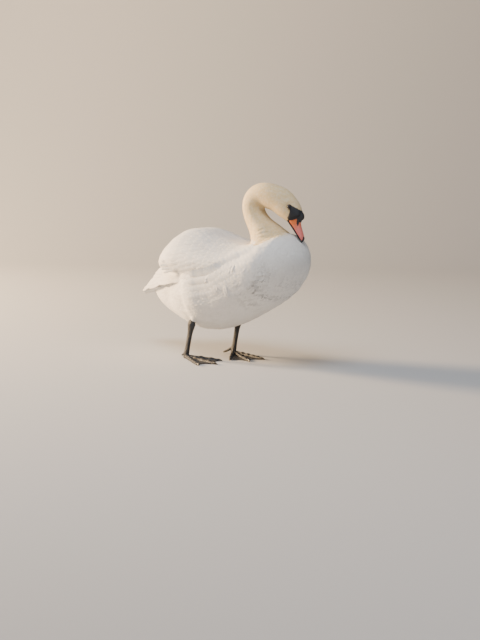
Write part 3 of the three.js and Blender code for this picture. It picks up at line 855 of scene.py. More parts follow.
def feather_rows(place, rows, seed):
    """Plans of staggered rows between two ends, longer and wider towards the rear."""
    chance = np.random.default_rng(seed)
    front, rear = rows["front"], rows["rear"]
    plans, x, row = [], front, 0
    reach = 0.0
    while x > rear + LAST_ROW * mix(rows["long"], reach):
        length, width, lift = [mix(rows[size], reach) for size in ("long", "wide", "lift")]
        line = [place(x, s) for s in np.linspace(0, 1, 9)]
        line = [p for p in line if p is not None]
        girth = sum((b - a).length for a, b in zip(line, line[1:])) / MM
        count = max(3, round(girth / (width * SIDE_OVERLAP)))
        for i in range(count + 1):
            up = (i + 0.5 * (row % 2) + 0.16 * (chance.random() - 0.5)) / (count + 0.5)
            x_here = x + 0.12 * length * (chance.random() - 0.5)
            root, aim = place(x_here, up), place(x_here - AIM, up - rows.get("tilt", 0))
            if root is None or aim is None:
                continue
            plans.append(feather(root, aim, width, lift, long=length * (0.92 + 0.16 * chance.random())))
        x -= length * ROW_OVERLAP
        row += 1
        reach = ((front - x) / (front - rear)) ** LENGTHENING
    return plans


flight_plumage = plumage_finish("flight_feathers", 34.0, 0.0004, DEEP_SHADE_WHITE)
for name, side in (("right", -1), ("left", 1)):
    plans = feather_rows(lambda x, up: wing_place(side, x, up), WING, 21 + side)
    lay_feathers("feathers_wing_" + name, plans, flight_plumage)

# Feathers of the back, which close the hollow between the two wings and end over the rump.
BACK = {"front": 12, "rear": -242, "long": (30, 84), "wide": (22, 32), "lift": (1.4, 3.4)}
BACK_HALF, BACK_OVER, BED_MARGIN, OVERHEAD = 66, 1.2, 14, 900


def surface_over(rows, outwards):
    """A surface to lay feathers on, through rows of places, facing outwards."""
    across = len(rows[0])
    corners = [tuple(place) for row in rows for place in row]
    starts = [i * across + j for i in range(len(rows) - 1) for j in range(across - 1)]
    faces = [(start, start + across, start + across + 1, start + 1) for start in starts]
    a, b, c = (Vector(corners[k]) for k in faces[len(faces) // 2][:3])
    if (b - a).cross(c - a).dot(outwards) < 0:
        faces = [face[::-1] for face in faces]
    return BVHTree.FromPolygons(corners, faces)


def drawn_tight(places, asides):
    """Heights of a line drawn tight over places, at other places aside."""
    tight = []
    for y, z in sorted(places):
        while len(tight) > 1:
            (y1, z1), (y2, z2) = tight[-2:]
            if (y2 - y1) * (z - z1) < (z2 - z1) * (y - y1):
                break
            tight.pop()
        tight.append((y, z))
    return np.interp(asides, *zip(*tight))


def skin_line(x, angles):
    """Places aside and their heights across the back at one place forward."""
    found = [flank_place(side, x, angle) for side in (-1, 1) for angle in angles]
    return [((p - CENTRE).y / MM, (p - CENTRE).z / MM) for p in found if p is not None]


def evened(heights):
    """Lines of heights, each evened out with the line before it and the line after it."""
    heights = np.array(heights)
    heights[1:-1] = (heights[:-2] + 2 * heights[1:-1] + heights[2:]) / 4
    return heights


def below(bed, x, y):
    """The place on a bed straight below a place high over it."""
    hit, _, _, _ = bed.ray_cast(on_bird(x, y, OVERHEAD), Vector((0, 0, -1)))
    return hit


asides = np.linspace(-BACK_HALF - BED_MARGIN, BACK_HALF + BED_MARGIN, 27)
stations = np.linspace(BACK["front"] + 6, BACK["rear"] - 10, 32)
heights = evened([drawn_tight(skin_line(x, range(40, 90, 2)), asides) + BACK_OVER for x in stations])
rows = [[on_bird(x, y, z) for y, z in zip(asides, line)] for x, line in zip(stations, heights)]
back_bed = surface_over(rows, Vector((0, 0, 1)))
plans = feather_rows(lambda x, across: below(back_bed, x, BACK_HALF * (2 * across - 1)), BACK, 25)
lay_feathers("feathers_back", plans, flight_plumage, back_bed)

# Tips of the long back feathers, which part a little at the wing's blunt end over the rump.
WING_END_FEATHERS = [
    (0.05, 2, 66, 22, 2.5), (0.17, 2, 70, 24, 3.5), (0.30, 4, 74, 24, 4.5), (0.40, 2, 76, 24, 4.5),
    (0.52, 4, 78, 24, 5.0), (0.66, 2, 80, 26, 5.0), (0.84, 2, 80, 27, 4.5),
]  # share up the wing, reach past its end, length, width, lift
WING_END_BED = {"aside": 139, "up": (330, 250), "forward": (-150, -320)}
PARTED_TIPS = [
    ((322, 317), -247, 56, 11, 1.0), ((312, 304), -252, 60, 10, 3.5), ((304, 291), -249, 58, 9, 2.0),
    ((298, 280), -240, 54, 9, 0.5),
]  # heights of root and tip, the tip's place forward, length, width, lift
for name, side in (("right", -1), ("left", 1)):
    plans = []
    for up, past, length, width, lift in WING_END_FEATHERS:
        x = WING["rear"] + length - past
        root, aim = wing_place(side, x, up), wing_place(side, x - 14, up)
        plans.append(feather(root, aim, width, lift, long=length))
    lay_feathers("feathers_wing_end_" + name, plans, flight_plumage)
    aside = side * WING_END_BED["aside"]
    plans = []
    for (root_z, tip_z), tip_x, length, width, lift in PARTED_TIPS:
        root, tip = on_bird(tip_x + length, aside, root_z), on_bird(tip_x, aside, tip_z)
        plans.append(feather(root, tip, width, lift))
    rows = [[on_bird(x, aside, z) for z in WING_END_BED["up"]] for x in WING_END_BED["forward"]]
    bed = surface_over(rows, Vector((0, side, 0)))
    lay_feathers("feathers_parted_" + name, plans, flight_plumage, bed)

# The long flight feathers lie stacked under the wing's lower edge and run out over the tail. Each
# covers the next one below it, and the upper ones end sooner, so that their tips step down.
STACK = [
    (-140, 128, 260, 120, 308), (-172, 124, 256, 112, 306), (-205, 118, 251, 106, 304),
    (-235, 110, 246, 92, 300), (-268, 94, 241, 74, 294), (-300, 78, 235, 54, 288), (-335, 60, 225, 33, 280),
    (-368, 44, 215, 19, 264), (-401, 30, 206, 12, 240), (-430, 18, 195, 7, 216), (-462, 5, 181, 1, 190),
]  # forward place, then aside and height of the stack's lower and of its upper edge
STACK_PROUD, STACK_BULGE, BED_STEPS, STACK_TIP = 4.5, 3, 24, 10
STACK_TURN = (-0.88, -0.48)  # way aside and up in which the stack's top turns in over the rump
STACK_SHARES = (-0.15, 0, 0.17, 0.33, 0.5, 0.67, 0.83, 1.0, 1.15, 1.35, 1.6)
STACK_ROOTS, STACK_AIMS = (0.10, 0.96), (0.12, 0.92)  # shares up the stack of the lowest and the highest
STACK_TIERS = [
    {"count": 9, "tips": (-236, -232), "long": (96, 92), "wide": (20, 24), "lift": (1.0, 3.6)},
    {"count": 11, "tips": (-338, -300), "long": (150, 136), "wide": (20, 26), "lift": (1.4, 4.8)},
    {"count": 15, "tips": (-455, -366), "long": (168, 150), "wide": (17, 28), "lift": (1.6, 7.0)},
]  # each with its lowest and its highest feather's values


def stack_place(side, x, share_up):
    """A place on the stack of flight feathers, from its lower edge to its upper."""
    low_y, low_z, high_y, high_z = at_station(STACK, x)
    out = Vector((0, side * (high_z - low_z), low_y - high_y)).normalized()
    over, share_up = max(0.0, share_up - 1), min(1.0, share_up)
    bulge = STACK_PROUD + STACK_BULGE * (1 - (2 * share_up - 1) ** 2)
    place = on_bird(x, side * mix((low_y, high_y), share_up), mix((low_z, high_z), share_up))
    turned_in = Vector((0, STACK_TURN[0] * side, STACK_TURN[1]))
    return place + out * bulge * MM + turned_in * over * math.hypot(high_y - low_y, high_z - low_z) * MM


for name, side in (("right", -1), ("left", 1)):
    stations = np.linspace(STACK[0][0], STACK[-1][0], BED_STEPS)
    rows = [[stack_place(side, x, up) for up in STACK_SHARES] for x in stations]
    bed = surface_over(rows, Vector((0, side, 0.3)))
    plans = []
    for tier in reversed(STACK_TIERS):
        for up in np.linspace(0, 1, tier["count"]):
            tip_x, length = mix(tier["tips"], up**0.8), mix(tier["long"], up)
            root = stack_place(side, tip_x + length, mix(STACK_ROOTS, up))
            aim = stack_place(side, tip_x + STACK_TIP, mix(STACK_AIMS, up))
            wide, lift = mix(tier["wide"], up), mix(tier["lift"], up)
            plans.append(feather(root, aim, wide, lift, beyond=STACK_TIP, sink=0))
    lay_feathers("feathers_stack_" + name, plans, flight_plumage, bed)

# Flank feathers, which rise over the folded wing's front and lower edge and hold it like a pocket.
POCKET_EDGE = [(100, 58), (72, 54), (44, 46), (14, 38), (-20, 27), (-50, 21), (-90, 17), (-130, 13)]
POCKET_ROWS = [(30, 34, 20, 2.5), (20, 40, 22, 3.5), (10, 46, 24, 5.0), (0, 50, 24, 8.5)]
# The edge's angle at each place forward; each row's angle below it, feather length, width and lift.
POCKET_COUNT, POCKET_CLIMB = 19, 11
FALLS = [
    ((-15, 14), (-7, -5), 9, 9), ((22, 11), (32, -10), 9, 9), ((62, 44), (52, 20), 12, 8),
    ((26, 35), (-6, 15), 14, 9), ((-24, 22), (-50, 6), 12, 7),
]  # hanging tufts: place forward and angle of root and of tip, spread in millimetres, feathers
FALL_LONG, FALL_WIDE, FALL_LIFT, FALL_ASKEW = (0.75, 1.1), (6.5, 9.5), (1.5, 5.0), 3

for name, side in (("right", -1), ("left", 1)):
    plans = []
    for row, (lower, length, width, lift) in enumerate(POCKET_ROWS):
        for i in range(POCKET_COUNT):
            x = mix((POCKET_EDGE[0][0], POCKET_EDGE[-1][0]), (i + 0.5 * ((row + 1) % 2)) / POCKET_COUNT)
            angle = at_station(POCKET_EDGE, x)[0] - lower
            root_angle = angle - POCKET_CLIMB * (1 - i / POCKET_COUNT)
            tip, root = flank_place(side, x, angle), flank_place(side, x + 0.95 * length, root_angle)
            raised = lift * mix((0.45, 1.0), min(1, 2.2 * i / POCKET_COUNT))
            plans.append(feather(root, tip, width, raised, long=length))
    for (root_x, root_angle), (tip_x, tip_angle), spread, count in FALLS:
        for aside in np.linspace(-spread / 2, spread / 2, count):
            shift = luck.uniform(-FALL_ASKEW, FALL_ASKEW)
            root = flank_place(side, root_x + 0.5 * aside, root_angle + shift)
            tip = flank_place(side, tip_x + 1.3 * aside, tip_angle + shift)
            share_of, width, lift = [luck.uniform(*limits) for limits in (FALL_LONG, FALL_WIDE, FALL_LIFT)]
            plans.append(feather(root, tip, width, lift, share_of=share_of))
    lay_feathers("feathers_flank_" + name, plans, small_plumage)

# ---------------------------------------------------------------- tail
# Twenty-two stiff feathers make a fan that narrows to a blunt point, its middle pair longest and
# uppermost. Softer coverts lie under the roots of the fan.
TAIL_FORM = [
    (-470, 7, 172, 185), (-463, 8, 174, 188), (-448, 19, 180, 201), (-425, 30, 188, 213),
    (-395, 41, 195, 226), (-365, 50, 200, 236), (-310, 54, 204, 246), (-290, 54, 204, 246),
]  # forward place, half-width, lower and upper height
TAIL_REACH = [(0, -467), (0.15, -462), (0.36, -448), (0.58, -426), (0.80, -400), (1.0, -374)]  # aside, tip
TAIL_ROOT, TAIL_PAIRS, TAIL_WIDE, TAIL_EDGE = -312, 11, (24, 20), 0.45
COVERTS = {"root": -318, "rows": 6, "apart": 17, "across": 7, "lift": 1.8}
COVERT_LONG, COVERT_WIDE = (40, 1.5), (22, -1.6)  # in the first row, and the change from row to row


def tail_place(x, aside, face):
    """A place on the upper or the lower face of the tail, aside from its middle by a share."""
    half, low, high = at_station(TAIL_FORM, x)
    edge = mix((low, high), TAIL_EDGE)
    rise = ((high if face > 0 else low) - edge) * (1 - min(1, abs(aside)) ** 2)
    return on_bird(x, aside * half, edge + rise)


def tail_bed(face):
    stations = np.linspace(TAIL_FORM[-1][0], TAIL_FORM[0][0], BED_STEPS)
    rows = [[tail_place(x, aside, face) for aside in np.linspace(-1.15, 1.15, 13)] for x in stations]
    return surface_over(rows, Vector((0, 0, face)))


plans = []
for pair in reversed(range(TAIL_PAIRS)):
    aside = (pair + 0.5) / TAIL_PAIRS
    tip_x = at_station(TAIL_REACH, aside)[0]
    for side in (-1, 1):
        root, aim = tail_place(TAIL_ROOT, side * 0.86 * aside, 1), tail_place(tip_x, side * 0.95 * aside, 1)
        plans.append(feather(root, aim, mix(TAIL_WIDE, aside), 0.8 + 0.28 * (TAIL_PAIRS - pair), sink=0))
lay_feathers("feathers_tail", plans, flight_plumage, tail_bed(1))

plans = []
for row in range(COVERTS["rows"]):
    x = COVERTS["root"] - COVERTS["apart"] * row
    long, wide = [start + change * row for start, change in (COVERT_LONG, COVERT_WIDE)]
    for i in range(COVERTS["across"]):
        aside = (i + 0.5 * (row % 2) - 3) / 3.6
        root, aim = tail_place(x, aside, -1), tail_place(x - 40, aside * 0.96, -1)
        plans.append(feather(root, aim, wide, COVERTS["lift"], long=long, sink=0))
lay_feathers("feathers_tail_under", plans, small_plumage, tail_bed(-1))

# Feathers of the rump, which roof the space between the two stacks of flight feathers down to the
# tail's root. In front they come out from under the tips of the back's feathers.
RUMP = {"front": -218, "rear": -450, "long": (70, 86), "wide": (25, 19), "lift": (1.2, 2.6)}
RUMP_OVER = {"heights": (-4.0, 4.0), "behind": (226, 258)}  # over the line drawn tight, and where it rises
RUMP_EDGE, RUMP_REACH, RUMP_FALL, TAIL_STARTS = 1.35, 1.08, 30, -400


def rump_line(x, shares):
    """Heights over the rump at one place forward, drawn tight between the two stacks' upper edges."""
    _, _, edge_y, edge_z = at_station(STACK, x)
    places = [(y, z) for y, z in skin_line(x, range(50, 90, 4)) if abs(y) < 0.8 * edge_y]
    middle_z = at_station(TAIL_FORM, x)[2] if x < TAIL_STARTS else edge_z
    places += [(-edge_y, edge_z), (edge_y, edge_z), (0, middle_z)]
    high = drawn_tight(places, np.clip(shares, -1, 1) * edge_y)
    over = mix(RUMP_OVER["heights"], ease(*RUMP_OVER["behind"], -x))
    return high + over - RUMP_FALL * np.clip(np.abs(shares) - 1, 0, 1)


def stack_edge(x):
    return at_station(STACK, x)[2]


shares = np.linspace(-RUMP_EDGE, RUMP_EDGE, 21)
stations = np.linspace(RUMP["front"] + 4, RUMP["rear"] - 12, 28)
heights = evened([rump_line(x, shares) for x in stations])
lines = zip(stations, heights)
rows = [[on_bird(x, y * stack_edge(x), z) for y, z in zip(shares, line)] for x, line in lines]
rump_bed = surface_over(rows, Vector((0, 0, 1)))
plans = feather_rows(
    lambda x, across: below(rump_bed, x, (2 * across - 1) * RUMP_REACH * stack_edge(x)), RUMP, 31
)
lay_feathers("feathers_rump", plans, flight_plumage, rump_bed)

# ---------------------------------------------------------------- bill
# Horn over bone: an orange upper mandible that turns pink towards its tip, with a black edge, base,
# nostrils and nail, a black knob of firm skin on its root, and a black lower mandible under it.
UPPER = [
    (-17, 17.4, -17.6, 21), (-9, 17.6, -18.6, 21.5), (-3, 17.2, -17.8, 20.5), (5, 16.4, -16.4, 18.4),
    (14, 15.3, -14.4, 15.4), (26, 14.2, -11.6, 12.4), (36, 13.8, -9.4, 11.2), (47, 13.9, -7.0, 10.2),
    (58, 13.2, -4.5, 8.6), (66, 11.4, -3.4, 6.8), (71, 8.4, -3.0, 5.0), (74, 4.4, -2.8, 2.6),
]  # place along, half-width, lower and upper height
LOWER = [
    (-12, 14.0, -25.0, -15), (-4, 14.4, -23.2, -15), (8, 14.0, -20.2, -13.4), (28, 13.0, -15.2, -10.2),
    (48, 12.2, -10.6, -6.2), (62, 9.6, -7.2, -3.8), (68, 4, -5.8, -3.8),
]
NAIL = [
    (61.5, 5.2, 4.4, 8.6), (65, 6.8, 0.0, 8.6), (69, 7.4, -3.4, 7.3), (72.5, 6.8, -6.6, 4.4),
    (75.2, 5, -8.2, 0.6), (77, 1.6, -8.4, -4.6),
]
WIDEST_AT = 0.30  # share of a mandible's height
NOSTRIL = {"at": (12.2, 9.4), "half": (9.6, 2.2), "rim": (1.6, 1.2), "slope": -0.38, "deep": 1.8}
KNOB_SWELLS = [(-4, 21.5, 16.2, 10.6, 12.4), (-13, 14, 15, 15.2, 13), (3, 13, 14, 12, 9)]
# Each swelling of the knob: its place along and up the bill, and its half-length, -width and -height.
BLACK_KNOB = {"at": (-5, 22), "half": (17, 13.5)}
BLACK_EDGE, BLACK_BEHIND, BLACK_AHEAD, BLACK_SLANT = (1.6, 2.6), -8.2, 62.5, 0.10
PINK_FROM, PINKEST = (6, 42), 0.9
BILL_ORANGE, BILL_PINK, BILL_BLACK = (0.82, 0.19, 0.022), (0.80, 0.205, 0.175), (0.010, 0.011, 0.014)


def tube(rings, closed_ends=True):
    """Corners and faces of rings of places joined one after another."""
    around = len(rings[0])
    corners = [tuple(place) for ring in rings for place in ring]
    faces = []
    for start in range(0, around * (len(rings) - 1), around):
        for j in range(around):
            further = (j + 1) % around
            faces.append((start + j, start + further, start + around + further, start + around + j))
    if closed_ends:
        for ring, first, turn in ((rings[0], 0, -1), (rings[-1], (len(rings) - 1) * around, 1)):
            hub = len(corners)
            corners.append(tuple(np.mean([tuple(place) for place in ring], axis=0)))
            faces += [(hub, first + j, first + (j + 1) % around)[::turn] for j in range(around)]
    return corners, faces


def solid_of(name, corners, faces):
    """A closed, smoothly shaded mesh whose faces point outwards."""
    mesh = bpy.data.meshes.new(name)
    mesh.from_pydata(corners, [], faces)
    form = bmesh.new()
    form.from_mesh(mesh)
    bmesh.ops.recalc_face_normals(form, faces=form.faces)
    form.to_mesh(mesh)
    form.free()
    mesh.polygons.foreach_set("use_smooth", [True] * len(mesh.polygons))
    return mesh


def angles_round(count):
    return np.linspace(0, 2 * math.pi, count, endpoint=False)


def from_middle(x, z, patch, wider=(0, 0)):
    """How far a place on the bill's side lies from a patch's middle: 1 at the patch's edge, squared."""
    along, up = x - patch["at"][0], z - patch["at"][1]
    up = up - patch.get("slope", 0) * along
    return (along / (patch["half"][0] + wider[0])) ** 2 + (up / (patch["half"][1] + wider[1])) ** 2


def mandible(name, table, rings, around, flat_below, ridge, nostrils=False):
    """A horn sheath along the bill: widest low down, its top a rounded ridge."""
    places, marks = [], []
    for x, half, low, high in smooth_line(table, rings):
        widest = mix((low, high), WIDEST_AT)
        ring = []
        for angle in angles_round(around):
            c, s = math.cos(angle), math.sin(angle)
            power = 2 / (ridge if s > 0 else flat_below)
            y = half * math.copysign(abs(c) ** power, c)
            z = widest + ((high - widest) if s > 0 else (widest - low)) * math.copysign(abs(s) ** power, s)
            if nostrils and abs(y) > 2:
                y -= math.copysign(NOSTRIL["deep"] * math.exp(-from_middle(x, z, NOSTRIL) ** 2), y)
            ring.append(on_bill(x, y, z))
            marks.append((x, y, z))
        places.append(ring)
    marks += [marks[0], marks[-1]]
    return shown(name, solid_of(name, *tube(places))), np.array(marks)


def horn_finish(name, colours, roughness, relief):
    """Horn or bare skin: a main colour turning to a second, black where the marks say so."""
    material, tree, shader, bump = new_finish(name, 0.4, relief)
    main, second, black = colours
    blotch = mottle(tree, 160.0)
    turned = calculate(tree, "ADD", value_of(tree, "turned"), calculate(tree, "MULTIPLY", blotch, 0.35))
    dark = blend(tree, blotch, black, tuple(2.2 * c for c in black))
    horn = blend(tree, value_of(tree, "black"), blend(tree, turned, main, second), dark)
    tree.links.new(horn, shader.inputs["Base Color"])
    rough = calculate(tree, "MULTIPLY_ADD", blotch, 0.22, roughness - 0.11)
    tree.links.new(rough, shader.inputs["Roughness"])
    tree.links.new(mottle(tree, 900.0, 2.0), bump.inputs["Height"])
    return material


bill_horn = horn_finish("bill_horn", (BILL_ORANGE, BILL_PINK, BILL_BLACK), 0.42, 0.0002)
bare_black = horn_finish("bare_black_skin", (BILL_BLACK, BILL_BLACK, BILL_BLACK), 0.50, 0.0003)


def clad(piece, finish, slot, *nodes):
    piece.data.materials.clear()
    piece.data.materials.append(finish)
    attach(piece, "root")
    if nodes:
        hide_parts(*nodes)


upper, marks = mandible("bill_upper_horn", UPPER, 96, 72, 3.2, 1.75, nostrils=True)
x, y, z = marks.T
low_edge = np.interp(x, [row[0] for row in UPPER], [row[2] for row in UPPER])
black = [
    1 - ease(*BLACK_EDGE, z - low_edge),
    1 - ease(0.9, 1.25, from_middle(x, z, NOSTRIL, NOSTRIL["rim"])),
    1 - ease(0.9, 1.1, from_middle(x, z, BLACK_KNOB)),
    1 - ease(-0.6, 0.6, x - BLACK_BEHIND - BLACK_SLANT * z),
    ease(-0.5, 0.5, x - BLACK_AHEAD - BLACK_SLANT * y**2),
]
store(upper.data, "black", np.clip(np.max(black, axis=0), 0, 1))
store(upper.data, "turned", ease(*PINK_FROM, x) * PINKEST)
clad(upper, bill_horn, "bill_orange", "bill_upper")

lower, _ = mandible("bill_lower_horn", LOWER, 40, 36, 2.2, 2.6)
nail, _ = mandible("bill_nail_horn", NAIL, 30, 36, 2.2, 2.0)


def ellipsoid(middle, halves, rings=28, around=40):
    """Corners and faces of a round swelling in the bill's frame."""
    places = []
    for t in np.linspace(0.03, math.pi - 0.03, rings):
        ring = []
        for angle in angles_round(around):
            out = (math.sin(t) * math.cos(angle), math.sin(t) * math.sin(angle), math.cos(t))
            ring.append(on_bill(*[at + half * share_of for at, half, share_of in zip(middle, halves, out)]))
        places.append(ring)
    return tube(places)


def fused(name, parts, even_size, smoothing):
    """One even closed mesh from several that run into one another, softened where they meet."""
    corners, faces = [], []
    for part_corners, part_faces in parts:
        faces += [tuple(i + len(corners) for i in face) for face in part_faces]
        corners += part_corners
    piece = shown(name, solid_of(name, corners, faces))
    even = piece.modifiers.new("even", "REMESH")
    even.mode = "VOXEL"
    even.voxel_size = even_size
    even.use_smooth_shade = True
    finished(piece)
    write_points(piece.data, relax(read_points(piece.data), edge_ends(piece.data), smoothing))
    return piece


def all_black(piece):
    store(piece.data, "black", np.ones(len(piece.data.vertices)))
    return piece


clad(all_black(lower), bill_horn, "bill_black", "bill_lower")
clad(all_black(nail), bill_horn, "bill_black", "bill_nail")
parts = [ellipsoid((x, 0, z), (a, b, c)) for x, z, a, b, c in KNOB_SWELLS]
clad(all_black(fused("bill_knob_skin", parts, 0.8 * MM, 8)), bare_black, "bill_black", "bill_knob")

# ---------------------------------------------------------------- bare face
# Bare black skin runs from the bill's root to a point at the eye, on each side of the head. It is
# thin and smooth, and its edge stands a little over the skin that the feathers grow from.
FACE_TOP = [(-49, 7.5), (-45, 11), (-39, 15), (-31, 21.8), (-20, 29), (-12, 34), (-6.5, 36)]
FACE_LOW = [
    (-49, 7.5), (-48, 2), (-44, -1.5), (-38, -0.4), (-31, 2.6), (-23.3, -2), (-18, -7), (-14, -12),
    (-10.5, -18),
]  # places along and up the bill
FACE_PROUD, FACE_DEEP, FACE_STEPS, FACE_ACROSS = 1.5 * MM, 1.0 * MM, 64, 28
FAR_ASIDE = 0.1  # metres out from the head's middle, from where the skin is looked for


def sideways(side):
    return (on_bill(0, side, 0) - on_bill(0, 0, 0)).normalized()


def skin_beside(place, side):
    """The skin's place and its way out, straight beside a place in the bill's middle plane."""
    return skin_tree.ray_cast(place + sideways(side) * FAR_ASIDE, -sideways(side))[:2]


def bare_face(side):
    """A thin sheet of skin laid on the side of the face between its upper and its lower edge."""
    edges = [smooth_line([(*place, 0) for place in edge], FACE_STEPS) for edge in (FACE_TOP, FACE_LOW)]
    rings = []
    for (x1, z1, _), (x2, z2, _) in zip(*edges):
        outer, inner = [], []
        for t in np.linspace(0, 1, FACE_ACROSS):
            at = on_bill(mix((x1, x2), t), 0, mix((z1, z2), t))
            hit, up = skin_beside(at, side)
            if hit is None:
                hit, up, _, _ = skin_tree.find_nearest(at)
            rim = ease(0, 0.12, min(t, 1 - t))
            outer.append(hit + up * FACE_PROUD * (0.35 + 0.65 * rim))
            inner.append(hit - up * FACE_DEEP)
        rings.append(outer + inner[::-1])
    return solid_of("face", *tube(rings))


for name, side in (("right", -1), ("left", 1)):
    face = shown("bare_face_" + name, bare_face(side))
    clad(all_black(face), bare_black, "bill_black")

# ---------------------------------------------------------------- eyes
# A wet, dark brown ball set in its socket, its front bulging a little over a black pupil, with a
# thin rim of dark bare skin round it that runs out over the socket's edge.
IRIS_BROWN, PUPIL_BLACK, LID_GREY = (0.030, 0.012, 0.006), (0.002, 0.002, 0.002), (0.012, 0.012, 0.013)
PUPIL_SHARE, PUPIL_SOFT, IRIS_SHARE = 0.52, 0.02, 0.86
EYE_SHOWN, LIDS_OVER, CORNEA = 0.97, 1.02, 0.07  # shares of the eye's radius
EYE_SUNK = 0.9  # how deep the ball lies behind the hole's middle, in millimetres
LID_OPENING, LOWER_LID = (4.4, 3.2), 0.92  # half-length and half-height in millimetres, and a share of it
LID_OVER_SKIN = 0.8
LID_PROFILE = [(0.94, -0.9), (1.0, -0.2), (1.1, 0.1), (1.26, 0.0), (1.46, -0.3), (1.56, -1.6), (1.1, -3.2)]
# Across a lid, from its edge outwards and back under: share of the opening, height over the ball.


def eye_finish():
    """A wet ball: a black pupil in a dark brown iris, by the distance from the eye's axis."""
    material = bpy.data.materials.new("eye")
    material.use_nodes = True
    tree = material.node_tree
    shader = tree.nodes["Principled BSDF"]
    ramp = node(tree, "ShaderNodeValToRGB", {"Fac": value_of(tree, "from_axis")})
    stops = ramp.color_ramp.elements
    stops[0].color, stops[1].color = (*PUPIL_BLACK, 1), (*LID_GREY, 1)
    inner, outer = PUPIL_SHARE - PUPIL_SOFT, PUPIL_SHARE + PUPIL_SOFT
    for place, colour in ((inner, PUPIL_BLACK), (outer, IRIS_BROWN), (IRIS_SHARE, IRIS_BROWN)):
        stops.new(place).color = (*colour, 1)
    tree.links.new(ramp.outputs["Color"], shader.inputs["Base Color"])
    shader.inputs["Roughness"].default_value = 0.06
    shader.inputs["Coat Weight"].default_value = 1.0
    shader.inputs["Coat Roughness"].default_value = 0.02
    return material


EYE_X, EYE_Y, EYE_Z = EYE_ON_BILL / MM
EYE_Y -= EYE_SUNK


def eyeball(name, side, rings=24, around=32):
    """A ball whose front bulges a little where the cornea is."""
    radius = EYE_RADIUS / MM * EYE_SHOWN
    places, out = [], []
    for t in np.linspace(0.02, math.pi - 0.02, rings):
        bulge = 1 + CORNEA * (1 - float(ease(0.3, 0.9, t)))
        ring = []
        for angle in angles_round(around):
            x = EYE_X + radius * math.sin(t) * math.cos(angle)
            z = EYE_Z + radius * math.sin(t) * math.sin(angle)
            ring.append(on_bill(x, side * (EYE_Y + radius * math.cos(t) * bulge), z))
            out.append(math.sin(t) if t < math.pi / 2 else 1.0)
        places.append(ring)
    mesh = solid_of(name, *tube(places))
    store(mesh, "from_axis", out + [0.0, 1.0])
    return shown(name, mesh)


def eyelids(name, side, around=48):
    """A thin rim of bare skin from the opening between the lids out over the socket's edge."""
    radius = EYE_RADIUS / MM
    rings = []
    for reach, proud in LID_PROFILE:
        share_out = float(ease(1.0, 1.45, reach))
        ring = []
        for angle in angles_round(around):
            dx = LID_OPENING[0] * reach * math.cos(angle)
            dz = LID_OPENING[1] * reach * math.sin(angle) * (1 if math.sin(angle) > 0 else LOWER_LID)
            aside = min(dx**2 + dz**2, radius**2)
            on_ball = EYE_Y + math.sqrt(max(0.0, (radius * LIDS_OVER) ** 2 - aside))
            hit, _ = skin_beside(on_bill(EYE_X + dx, 0, EYE_Z + dz), side)
            on_skin = abs(to_bill(np.array([hit]))[0][1]) + LID_OVER_SKIN
            ring.append(on_bill(EYE_X + dx, side * (mix((on_ball, on_skin), share_out) + proud), EYE_Z + dz))
        rings.append(ring)
    corners, faces = tube(rings + rings[:1], closed_ends=False)
    faces = [tuple(i % (around * len(rings)) for i in face) for face in faces]
    return shown(name, solid_of(name, corners[: around * len(rings)], faces))


wet_eye = eye_finish()
for name, side in (("right", -1), ("left", 1)):
    clad(eyeball("eyeball_" + name, side), wet_eye, "eye", "eye_" + name)
    clad(all_black(eyelids("eyelids_" + name, side)), bare_black, "bill_black")

# ---------------------------------------------------------------- legs and feet
# Dark grey scaly skin over bone and tendon. A flattened shank stands on three long toes joined by
# webs, with a small hind toe raised behind them, horny claws, and plates down the front.
LEGS = {
    "right": {"foot": (-170, -100, 15), "heading": -8, "side": -1},
    "left": {"foot": (-112, 72, 15), "heading": -30, "side": 1},
}
TOES = {
    "inner": (116, 25, (0.46, 0.78)), "middle": (142, 0, (0.36, 0.60, 0.82)),
    "outer": (134, -24, (0.32, 0.52, 0.70, 0.86)),
}  # each toe's length, its spread in degrees, and where its joints are along it
TOE_RADIUS, TOE_SINK, JOINT_SWELL, JOINT_LONG, TOE_START = 6.3, 0.75, 0.20, 0.05, -0.05
TOE_SHAPE = [(-0.05, 1.25), (0.1, 1.12), (0.3, 0.98), (0.55, 0.9), (0.8, 0.8), (1.0, 0.68)]
TARSUS_SHAPE = [
    (-0.22, 9), (-0.05, 12.4), (0.03, 13.2), (0.14, 11.4), (0.24, 9.6), (0.36, 8.5), (0.72, 8.1),
    (0.88, 8.8), (0.97, 9.4),
]  # share of the way from ankle to foot, or before it from knee to ankle, and radius
FOOT_JOINT, JOINT_RADII = 0.86, (8.0, 10, 8.5)
HIND_TOE, HIND_RADIUS = [(13, 6, 15, 4.4), (26, 12, 7.4, 3.8), (33, 14.5, 4.4, 2.6)], 4.0
CLAW_SHAPE = [(-4, 4.8, 3.9), (1, 5.0, 3.7), (6, 4.5, 3.0), (11, 3.3, 2.0), (15, 1.9, 0.7)]
WEB_ROWS, WEB_START, WEB_SCALLOP, WEB_HIGH, WEB_SLACK, WEB_THICK = 22, 3, 0.17, 3.6, 0.9, 1.5
WEB_FOLDS = [(0.7, 13, 5), (0.35, 4, 31)]  # height, and how often a fold comes across and along a web
LEG_GREY, LEG_PALE, CLAW_BLACK = (0.024, 0.026, 0.030), (0.092, 0.097, 0.108), (0.012, 0.011, 0.011)


